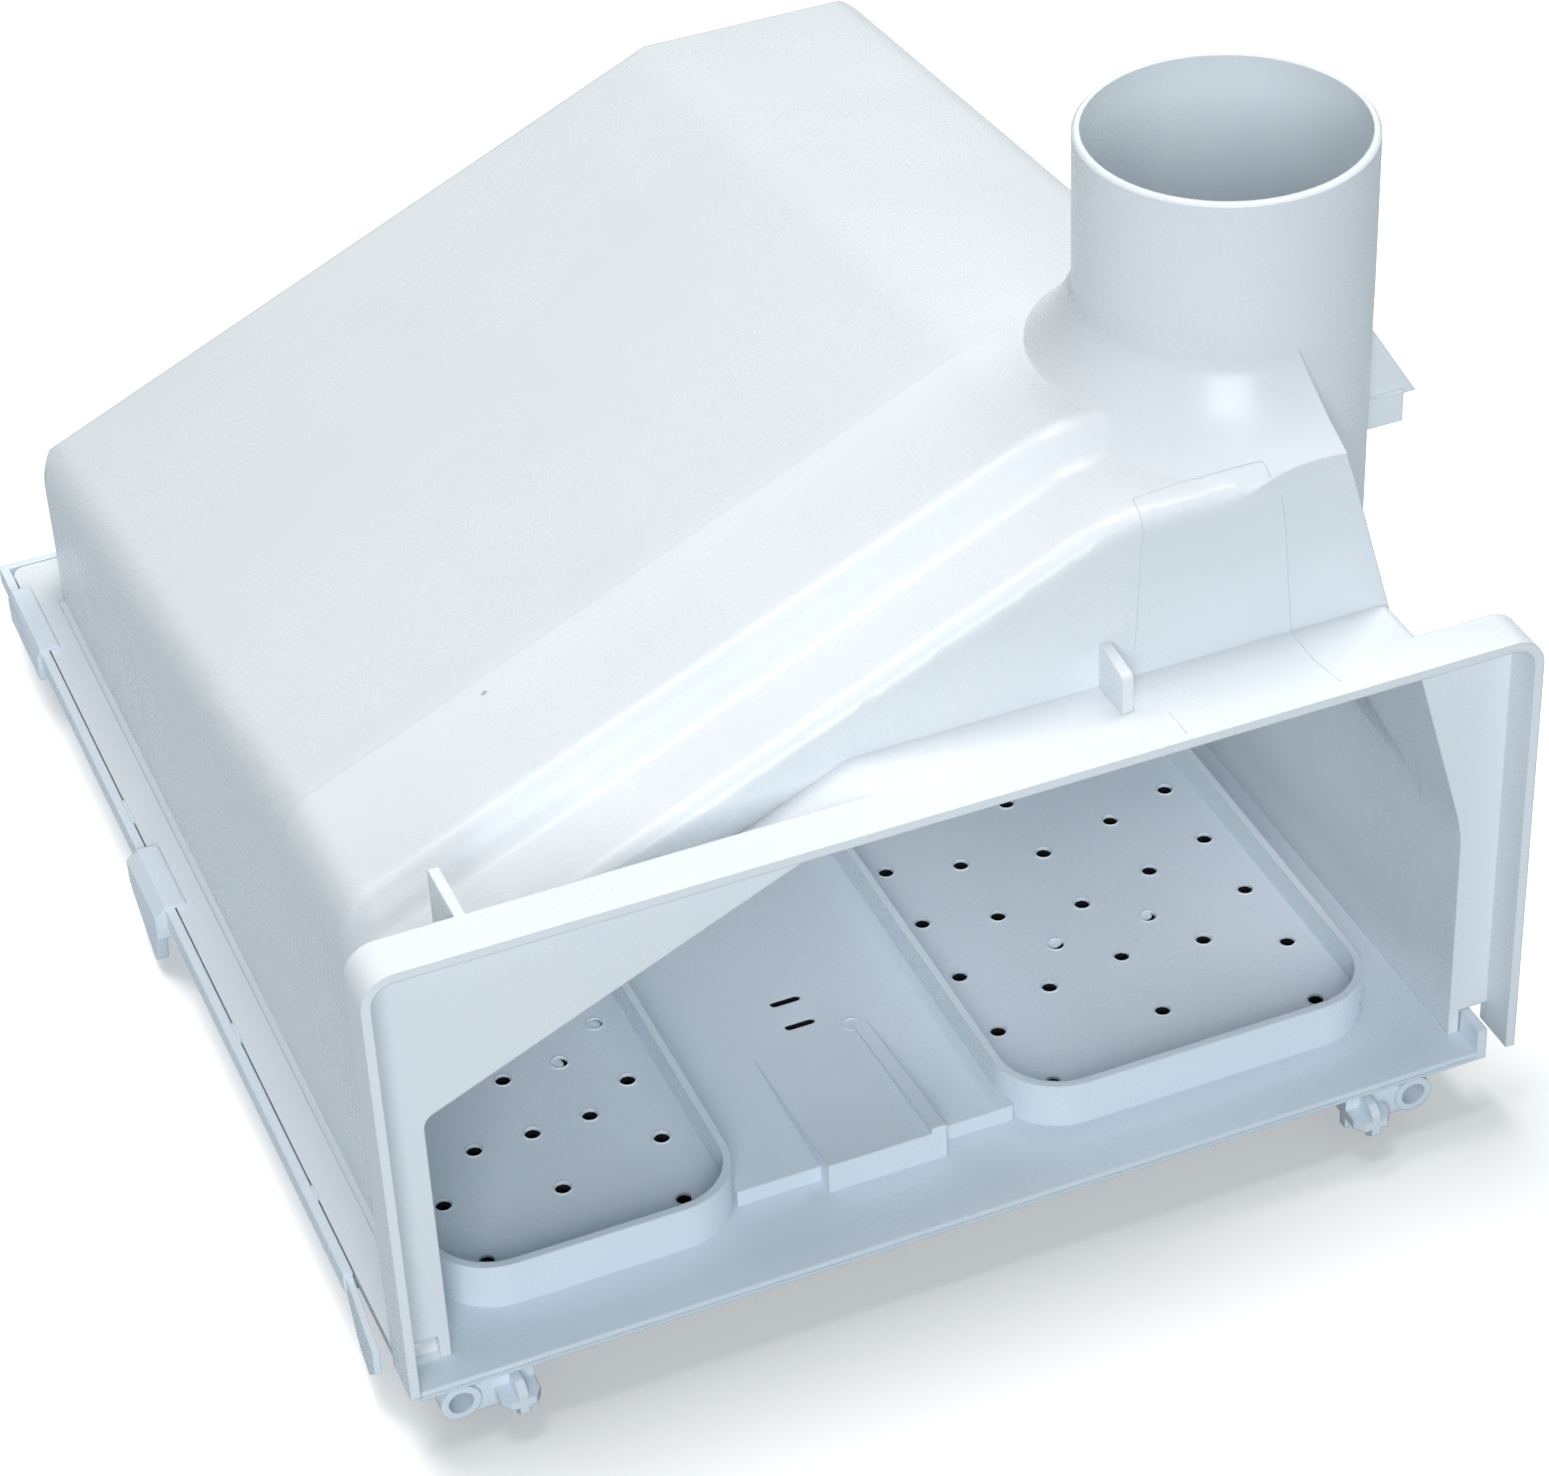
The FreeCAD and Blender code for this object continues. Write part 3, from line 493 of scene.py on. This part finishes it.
def camera_axes(look):
    """Right, up and forward of the camera."""
    forward = Vector((math.sin(look.azimuth) * math.cos(look.elevation),
                      math.cos(look.azimuth) * math.cos(look.elevation),
                      -math.sin(look.elevation)))
    level = forward.cross(Vector((0, 0, 1))).normalized()
    raised = level.cross(forward)
    right = level * math.cos(look.roll) + raised * math.sin(look.roll)
    up = raised * math.cos(look.roll) - level * math.sin(look.roll)
    return right, up, forward


def pixel_ray(look, across, down):
    """The way from the camera through a pixel of the photograph."""
    right, up, forward = camera_axes(look)
    sideways = right * (across - PHOTO_WIDTH / 2)
    upright = up * (down - PHOTO_HEIGHT / 2)
    return (forward * look.focal_pixels + sideways - upright).normalized()


def seen_face(tree, look, across, down):
    """The point of a mesh that the photograph shows at a pixel, and its face's normal."""
    eye = from_hood(*CAMERA_PLACE)
    point, normal = tree.ray_cast(eye, pixel_ray(look, across, down))[:2]
    if point is None:
        raise RuntimeError("nothing is seen at pixel %d, %d" % (across, down))
    return point, normal


def seen_point(tree, look, pixel):
    """The point of a mesh that the photograph shows at a pixel."""
    return seen_face(tree, look, *pixel)[0]


def seen_path(tree, look, pixels):
    """Points on a mesh along a line of pixels, close enough together to follow its curves."""
    path = []
    for start, end in zip(pixels, pixels[1:]):
        start, end = Vector(start), Vector(end)
        count = math.ceil((end - start).length / LINE_STEP)
        path += [seen_point(tree, look, start.lerp(end, k / count)) for k in range(count)]
    return path + [seen_point(tree, look, pixels[-1])]


def surface_tree(mesh):
    """The faces of a mesh, ready for rays."""
    places = [vertex.co for vertex in mesh.vertices]
    return BVHTree.FromPolygons(places, [face.vertices for face in mesh.polygons])


def is_hole_edge(edge, level):
    """True for an edge at a height between a level face and an upright one."""
    if len(edge.link_faces) != 2 or any(abs(v.co.z - level) > WELD for v in edge.verts):
        return False
    steep, flat = sorted(abs(face.normal.z) for face in edge.link_faces)
    return steep < STEEP_WALL and flat > FLAT_FLOOR


def hole_centres(mesh, level, widest):
    """Middles of the small rings of edges that bound the holes at a height, in a fixed order."""
    work = bmesh.new()
    work.from_mesh(mesh)
    rim = {v for e in work.edges if is_hole_edge(e, level) for v in e.verts}
    centres = []
    while rim:
        ring, waiting = [], [rim.pop()]
        while waiting:
            vertex = waiting.pop()
            ring.append(vertex.co)
            near = [e.other_vert(vertex) for e in vertex.link_edges if is_hole_edge(e, level)]
            waiting += [v for v in near if v in rim]
            rim -= set(near)
        low = Vector([min(p[k] for p in ring) for k in range(3)])
        high = Vector([max(p[k] for p in ring) for k in range(3)])
        if max(high - low) < widest:
            centres.append((low + high) / 2)
    work.free()
    return sorted(centres, key=tuple)


class PlasticLook(bpy.types.PropertyGroup):
    """Colours and finish of the moulded plastic, and the shares and colours of the shade and
    highlight painted on it.
    """

    base: bpy.props.FloatVectorProperty(
        name="Plastic", description="Colour of the moulding", default=(0.825, 0.87, 0.905),
        size=3, min=0.0, max=1.0, subtype="COLOR")
    deep: bpy.props.FloatVectorProperty(
        name="Clouds", description="Colour where the plastic is slightly denser",
        default=(0.795, 0.845, 0.885), size=3, min=0.0, max=1.0, subtype="COLOR")
    plate: bpy.props.FloatVectorProperty(
        name="Plate", description="Colour of the plate and the cover",
        default=(0.79, 0.87, 0.94), size=3, min=0.0, max=1.0, subtype="COLOR")
    plate_deep: bpy.props.FloatVectorProperty(
        name="Plate clouds", description="Colour where that plastic is slightly denser",
        default=(0.765, 0.85, 0.925), size=3, min=0.0, max=1.0, subtype="COLOR")
    # Painted shade: the near-black put on the closed spaces and the holes' walls
    painted_chamber_shade: bpy.props.FloatVectorProperty(
        name="Chamber", description="Colour of the dark inside between plate and cover",
        default=(0.02, 0.022, 0.026), size=3, min=0.0, max=1.0, subtype="COLOR")
    # The specks' colour, also used for the painted shade line along the roof's crease
    speck: bpy.props.FloatVectorProperty(
        name="Specks", description="Colour of the small dark inclusions",
        default=(0.20, 0.23, 0.27), size=3, min=0.0, max=1.0, subtype="COLOR")
    roughness: bpy.props.FloatProperty(
        name="Roughness", description="Satin finish of the mould",
        default=0.27, min=0.0, max=1.0, subtype="FACTOR")
    sheen: bpy.props.FloatProperty(
        name="Specular", description="Strength of the highlights",
        default=0.4, min=0.0, max=1.0, subtype="FACTOR")
    grain: bpy.props.FloatProperty(
        name="Grain", description="Depth of the fine moulded grain",
        default=0.05, min=0.0, max=1.0, subtype="FACTOR")
    grain_scale: bpy.props.FloatProperty(
        name="Grain scale", description="Grains in a metre", default=2600.0, min=1.0)
    waviness: bpy.props.FloatProperty(
        name="Waviness", description="Slow waves of the shrunk walls",
        default=0.05, min=0.0, max=1.0, subtype="FACTOR")
    # Painted highlight: the strip in front of the crease is made paler in place of the light that it
    # catches
    painted_strip_highlight: bpy.props.FloatProperty(
        name="Strip light", description="How much paler the strip in front of the crease is",
        default=0.16, min=0.0, max=1.0, subtype="FACTOR")
    # Painted shade: the crease's line is darkened in place of its shade
    painted_crease_shade: bpy.props.FloatProperty(
        name="Crease shade", description="How dark the line of the crease is",
        default=0.07, min=0.0, max=1.0, subtype="FACTOR")
    speck_spread: bpy.props.FloatProperty(
        name="Speck spread", description="Cells in a metre that may hold a speck",
        default=26.0, min=1.0)
    speck_rarity: bpy.props.FloatProperty(
        name="Speck rarity", description="Share of the cells that hold none",
        default=0.9, min=0.0, max=1.0, subtype="FACTOR")
    speck_size: bpy.props.FloatProperty(
        name="Speck size", description="Radius of a speck as a share of its cell",
        default=0.014, min=0.0, max=1.0, subtype="FACTOR")
    speck_strength: bpy.props.FloatProperty(
        name="Speck strength", description="How far a speck hides the plastic",
        default=0.75, min=0.0, max=1.0, subtype="FACTOR")


class MouldSizes(bpy.types.PropertyGroup):
    """Sizes of the fine detail on the mouldings."""

    soften: bpy.props.FloatProperty(
        name="Broken edge", description="How far a hard edge is rounded in the shading",
        default=0.45 * MM, min=0.0, subtype="DISTANCE", unit="LENGTH")
    smooth_angle: bpy.props.FloatProperty(
        name="Smooth angle", description="Faces that meet at less than this are shaded as one",
        default=math.radians(32.0), subtype="ANGLE", unit="ROTATION")
    well_floor: bpy.props.FloatProperty(
        name="Well floor", description="Height of the wells' floor above the hood's foot",
        default=3.5 * MM, subtype="DISTANCE", unit="LENGTH")
    speck: bpy.props.FloatProperty(
        name="Roof speck", description="Radius of the one larger speck on the roof",
        default=0.8 * MM, subtype="DISTANCE", unit="LENGTH")
    # Sizes of the painted highlight strip and the painted shade line along the roof's crease
    crease_line: bpy.props.FloatProperty(
        name="Crease line", description="Half the width of the roof's crease",
        default=0.9 * MM, subtype="DISTANCE", unit="LENGTH")
    crease_strip: bpy.props.FloatProperty(
        name="Crease strip", description="Width over which the strip in front of the crease fades",
        default=22.0 * MM, subtype="DISTANCE", unit="LENGTH")
    crease_end: bpy.props.FloatProperty(
        name="Crease end", description="Length over which the crease runs out",
        default=12.0 * MM, subtype="DISTANCE", unit="LENGTH")
    crease_depth: bpy.props.FloatProperty(
        name="Crease depth", description="How far from the crease's own plane the roof is marked",
        default=12.0 * MM, subtype="DISTANCE", unit="LENGTH")
    line: bpy.props.FloatProperty(
        name="Insert line", description="Radius of the raised line round the mould's insert",
        default=0.16 * MM, subtype="DISTANCE", unit="LENGTH")
    tie: bpy.props.FloatProperty(
        name="Joint tie", description="Radius of the ties across the joint of flange and rim",
        default=0.55 * MM, subtype="DISTANCE", unit="LENGTH")
    hole_widest: bpy.props.FloatProperty(
        name="Widest hole", description="Openings wider than this get no collar",
        default=4.0 * MM, subtype="DISTANCE", unit="LENGTH")
    collar: bpy.props.FloatProperty(
        name="Collar", description="Radius of the collar round a shower hole",
        default=1.66 * MM, subtype="DISTANCE", unit="LENGTH")
    collar_bead: bpy.props.FloatProperty(
        name="Collar bead", description="Half the thickness of a collar",
        default=0.2 * MM, subtype="DISTANCE", unit="LENGTH")
    collar_spread: bpy.props.FloatProperty(
        name="Collar spread", description="How far a collar's size may differ, as a share of it",
        default=0.04, min=0.0, max=1.0, subtype="FACTOR")
    flash: bpy.props.FloatProperty(
        name="Flash", description="Radius of the film in a part-closed hole",
        default=1.4 * MM, subtype="DISTANCE", unit="LENGTH")
    flash_thick: bpy.props.FloatProperty(
        name="Flash thickness", description="Thickness of that film",
        default=0.5 * MM, subtype="DISTANCE", unit="LENGTH")
    flash_ragged: bpy.props.FloatProperty(
        name="Flash raggedness", description="How far that film's edge wanders",
        default=0.5 * MM, subtype="DISTANCE", unit="LENGTH")


class StageLook(bpy.types.PropertyGroup):
    """Floor, lamps and camera."""

    floor_colour: bpy.props.FloatVectorProperty(
        name="Floor", description="Colour of the floor",
        default=(0.88, 0.86, 0.85), size=3, min=0.0, max=1.0, subtype="COLOR")
    floor_bounce: bpy.props.FloatVectorProperty(
        name="Floor bounce", description="Colour of the floor for the light that it throws back",
        default=(0.5, 0.53, 0.56), size=3, min=0.0, max=1.0, subtype="COLOR")
    floor_glow: bpy.props.FloatProperty(
        name="Floor glow", description="Part of its white that the floor shows without light",
        default=0.40, min=0.0, max=1.0, subtype="FACTOR")
    floor_near: bpy.props.FloatProperty(
        name="Shadow reach", description="Distance within which the floor shows its shadow",
        default=0.45, subtype="DISTANCE", unit="LENGTH")
    floor_far: bpy.props.FloatProperty(
        name="White from", description="Distance from which the floor is seen as plain white",
        default=1.2, subtype="DISTANCE", unit="LENGTH")
    floor_size: bpy.props.FloatProperty(
        name="Floor size", description="Half the floor's side",
        default=4.0, subtype="DISTANCE", unit="LENGTH")
    top_power: bpy.props.FloatProperty(
        name="Top lamp", description="Power of the lamp above",
        default=6.6, min=0.0, unit="POWER")
    side_power: bpy.props.FloatProperty(
        name="Side lamp", description="Power of the high lamp on the right",
        default=16.8, min=0.0, unit="POWER")
    left_power: bpy.props.FloatProperty(
        name="Left lamp", description="Power of the lamp in front on the left",
        default=15.6, min=0.0, unit="POWER")
    glint_power: bpy.props.FloatProperty(
        name="Glint", description="Power of the small lamp that lines the ridges",
        default=3.7, min=0.0, unit="POWER")
    floor_power: bpy.props.FloatProperty(
        name="Floor lamp", description="Power of the lamp that lights the floor",
        default=24.0, min=0.0, unit="POWER")
    bay_power: bpy.props.FloatProperty(
        name="Bay fill", description="Power of the lamp for the light caught between the walls",
        default=0.009, min=0.0, unit="POWER")
    ambient: bpy.props.FloatProperty(
        name="Ambient", description="Strength of the light from all round", default=0.22, min=0.0)
    ambient_colour: bpy.props.FloatVectorProperty(
        name="Ambient colour", description="Colour of the light from all round",
        default=(0.74, 0.93, 1.0), size=3, min=0.0, max=1.0, subtype="COLOR")
    azimuth: bpy.props.FloatProperty(
        name="Azimuth", description="Camera's turn from the front",
        default=math.radians(20.72), subtype="ANGLE", unit="ROTATION")
    elevation: bpy.props.FloatProperty(
        name="Elevation", description="Camera's height angle",
        default=math.radians(37.30), subtype="ANGLE", unit="ROTATION")
    roll: bpy.props.FloatProperty(
        name="Roll", description="Camera's roll",
        default=math.radians(-3.03), subtype="ANGLE", unit="ROTATION")
    focal_pixels: bpy.props.FloatProperty(
        name="Focal length", description="Focal length in pixels of the photograph",
        default=4380.1, min=1.0, subtype="PIXEL")


class DISPENSER_OT_housing(bpy.types.Operator):
    """Dress the housing and the lines that the mould's insert left on it"""

    bl_idname = "dispenser.housing"
    bl_label = "Housing"

    def execute(self, context):
        look = context.scene.dispenser_plastic
        sizes = context.scene.dispenser_sizes
        stage = context.scene.dispenser_stage
        tones = (look.base, look.deep)
        mesh = moulded_mesh("housing", sizes.smooth_angle)
        surface = surface_tree(mesh)
        speck = seen_point(surface, stage, ROOF_SPECK)
        start = seen_point(surface, stage, CREASE_LEFT)
        end = seen_point(surface, stage, CREASE_RIGHT)
        above = seen_face(surface, stage, *CREASE_MIDDLE)[1]
        material = plastic("housing plastic", look, sizes, tones, speck, (start, end, above))
        add_piece("housing_moulding", mesh, material, "housing")
        lines = path_mesh([seen_path(surface, stage, line) for line in INSERT_LINES])
        beads = grown(bead_tree(), lines, {
            "Radius": sizes.line, "Sides": LINE_SIDES,
            "Material": plastic("insert line plastic", look, sizes, tones),
        })
        add_piece("insert_lines", beads)
        return {"FINISHED"}


class DISPENSER_OT_spray_plate(bpy.types.Operator):
    """Dress the perforated plate with its holes' collars and flash and the ties to the flange"""

    bl_idname = "dispenser.spray_plate"
    bl_label = "Perforated plate"

    def execute(self, context):
        look = context.scene.dispenser_plastic
        sizes = context.scene.dispenser_sizes
        tones = (look.plate, look.plate_deep)
        mesh = moulded_mesh("spray_plate", sizes.smooth_angle)
        level = HOOD_CORNER.z + sizes.well_floor
        holes = hole_centres(mesh, level, sizes.hole_widest)
        if not holes:
            raise RuntimeError("no holes were found in the plate")
        material = plastic("plate plastic", look, sizes, tones)
        add_piece("spray_plate_moulding", mesh, material, "spray_plate")
        collars = grown(collar_tree(), path_mesh([[point] for point in holes]), {
            "Radius": sizes.collar, "Bead": sizes.collar_bead, "Spread": sizes.collar_spread,
            "Seed": COLLAR_SEED, "Material": material,
        })
        add_piece("hole_collars", collars)
        depth = sizes.well_floor / MM - sizes.flash_thick / MM
        films = [from_hood(x + dx, y + dy, depth) for x, y, dx, dy in PART_CLOSED]
        flash = grown(flash_tree(), path_mesh([[point] for point in films]), {
            "Radius": sizes.flash, "Thickness": sizes.flash_thick, "Ragged": sizes.flash_ragged,
            "Material": plastic("flash plastic", look, sizes, tones),
        })
        add_piece("hole_flash", flash)
        joints = [[from_hood(JOINT_X, y, JOINT_Z) for y in tie] for tie in TIES]
        ties = grown(bead_tree(), path_mesh(joints), {
            "Radius": sizes.tie, "Sides": TIE_SIDES, "Material": material,
        })
        add_piece("joint_ties", ties)
        return {"FINISHED"}


class DISPENSER_OT_cover(bpy.types.Operator):
    """Dress the water cover"""

    bl_idname = "dispenser.cover"
    bl_label = "Water cover"

    def execute(self, context):
        look = context.scene.dispenser_plastic
        sizes = context.scene.dispenser_sizes
        mesh = moulded_mesh("distributor_cover", sizes.smooth_angle)
        material = plastic("cover plastic", look, sizes, (look.plate, look.plate_deep))
        add_piece("water_cover_moulding", mesh, material, "distributor_cover")
        return {"FINISHED"}


def shown_directly(tree):
    """1 for rays from the camera and for what shows through, 0 for light that only brightens."""
    camera = tree.make("ShaderNodeLightPath")
    return camera.larger(camera.beside("Is Transmission Ray"))


def floor_material(look):
    """Pale floor that is seen as white where nothing shades it."""
    material, tree = new_material("floor")
    plain = tree.make("ShaderNodeBsdfDiffuse", {}, {"Color": colour(look.floor_colour)})
    place = tree.make("ShaderNodeTexCoord", out=3)
    reach = tree.make("ShaderNodeVectorMath", {"operation": "LENGTH"}, {0: place}, 1)
    near = colour((look.floor_glow,) * 3)
    white = reach.ramp(look.floor_near, look.floor_far).blend(near, colour(WHITE))
    glow = tree.make("ShaderNodeEmission", {}, {"Color": white, "Strength": 1.0})
    lifted = tree.make("ShaderNodeAddShader", {}, {0: plain, 1: glow})
    bounce = tree.make("ShaderNodeBsdfDiffuse", {}, {"Color": colour(look.floor_bounce)})
    shader = tree.make("ShaderNodeMixShader", {},
                       {"Fac": shown_directly(tree), 1: bounce, 2: lifted})
    tree.make("ShaderNodeOutputMaterial", {}, {"Surface": shader})
    return material


def make_floor(look):
    """A square floor under the part."""
    mesh = bpy.data.meshes.new("floor")
    half = look.floor_size
    corners = [(-half, -half, 0), (half, -half, 0), (half, half, 0), (-half, half, 0)]
    mesh.from_pydata(corners, [], [(0, 1, 2, 3)])
    floor = bpy.data.objects.new("floor", mesh)
    mesh.materials.append(floor_material(look))
    bpy.context.scene.collection.objects.link(floor)
    piece_group(GROUND).objects.link(floor)


def make_lamp(name, power, place, side, tone, lit, aim=LAMP_AIM):
    """A square lamp that points at the part and lights one collection."""
    lamp = bpy.data.lights.new(name, "AREA")
    lamp.shape = "SQUARE"
    lamp.size = side
    lamp.energy = power
    lamp.color = tone
    holder = bpy.data.objects.new(name, lamp)
    holder.location = place
    holder.rotation_euler = (Vector(aim) - Vector(place)).to_track_quat("-Z", "Y").to_euler()
    holder.light_linking.receiver_collection = piece_group(lit)
    bpy.context.scene.collection.objects.link(holder)
    return holder


def make_bay_lamp(look):
    """A weak lamp in the drawer bay, not seen itself, for the light that its walls pass on."""
    lamp = make_lamp("bay fill", look.bay_power, from_hood(*BAY_LAMP_PLACE), BAY_LAMP_SIDE, WHITE,
                     PIECES, from_hood(*BAY_LAMP_AIM))
    lamp.visible_camera = False
    lamp.visible_glossy = False


def make_world(look):
    """Faint light from all round, behind which the camera sees white."""
    world = bpy.data.worlds.new("studio")
    world.use_nodes = True
    world.node_tree.nodes.clear()
    tree = Wire(world.node_tree)
    ambient = tree.make("ShaderNodeBackground", {},
                        {"Color": colour(look.ambient_colour), "Strength": look.ambient})
    white = tree.make("ShaderNodeBackground", {}, {"Color": colour(WHITE), "Strength": 1.0})
    shader = tree.make("ShaderNodeMixShader", {},
                       {"Fac": shown_directly(tree), 1: ambient, 2: white})
    tree.make("ShaderNodeOutputWorld", {}, {"Surface": shader})
    bpy.context.scene.world = world


def make_camera(look):
    """The camera at the photograph's place and angle."""
    right, up, forward = camera_axes(look)
    camera = bpy.data.cameras.new("camera")
    camera.sensor_fit = "HORIZONTAL"
    camera.sensor_width = SENSOR_MM
    camera.lens = SENSOR_MM * look.focal_pixels / PHOTO_WIDTH
    camera.clip_end = CAMERA_REACH
    holder = bpy.data.objects.new("camera", camera)
    turn = Matrix((right, up, -forward)).transposed().to_4x4()
    holder.matrix_world = Matrix.Translation(from_hood(*CAMERA_PLACE)) @ turn
    bpy.context.scene.collection.objects.link(holder)
    bpy.context.scene.camera = holder


class DISPENSER_OT_stage(bpy.types.Operator):
    """Set the floor, the lamps and the camera"""

    bl_idname = "dispenser.stage"
    bl_label = "Stage"

    def execute(self, context):
        look = context.scene.dispenser_stage
        make_floor(look)
        make_world(look)
        make_lamp("top", look.top_power, *TOP_LAMP)
        make_lamp("side", look.side_power, *SIDE_LAMP)
        make_lamp("left", look.left_power, *LEFT_LAMP)
        make_lamp("glint", look.glint_power, *GLINT_LAMP)
        make_lamp("floor light", look.floor_power, *FLOOR_LAMP)
        make_bay_lamp(look)
        make_camera(look)
        context.scene.view_settings.view_transform = "Standard"
        if context.scene.camera is None:
            raise RuntimeError("the stage has no camera")
        return {"FINISHED"}


class DISPENSER_PT_panel(bpy.types.Panel):
    """Operators and values of the dispenser housing"""

    bl_label = "Dispenser housing"
    bl_idname = "DISPENSER_PT_panel"
    bl_space_type = "VIEW_3D"
    bl_region_type = "UI"
    bl_category = "Dispenser"

    def draw(self, context):
        scene = context.scene
        column = self.layout.column()
        for operator in OPERATORS:
            column.operator(operator.bl_idname)
        for group in (scene.dispenser_sizes, scene.dispenser_plastic, scene.dispenser_stage):
            for name in group.__annotations__:
                column.prop(group, name)


OPERATORS = (
    DISPENSER_OT_housing,
    DISPENSER_OT_spray_plate,
    DISPENSER_OT_cover,
    DISPENSER_OT_stage,
)
CLASSES = (PlasticLook, MouldSizes, StageLook, *OPERATORS, DISPENSER_PT_panel)


def register():
    for cls in CLASSES:
        bpy.utils.register_class(cls)
    bpy.types.Scene.dispenser_plastic = bpy.props.PointerProperty(type=PlasticLook)
    bpy.types.Scene.dispenser_sizes = bpy.props.PointerProperty(type=MouldSizes)
    bpy.types.Scene.dispenser_stage = bpy.props.PointerProperty(type=StageLook)


def unregister():
    del bpy.types.Scene.dispenser_stage
    del bpy.types.Scene.dispenser_sizes
    del bpy.types.Scene.dispenser_plastic
    for cls in reversed(CLASSES):
        bpy.utils.unregister_class(cls)


def main():
    register()
    bpy.ops.dispenser.housing()
    bpy.ops.dispenser.spray_plate()
    bpy.ops.dispenser.cover()
    bpy.ops.dispenser.stage()


if __name__ == "__main__":
    main()
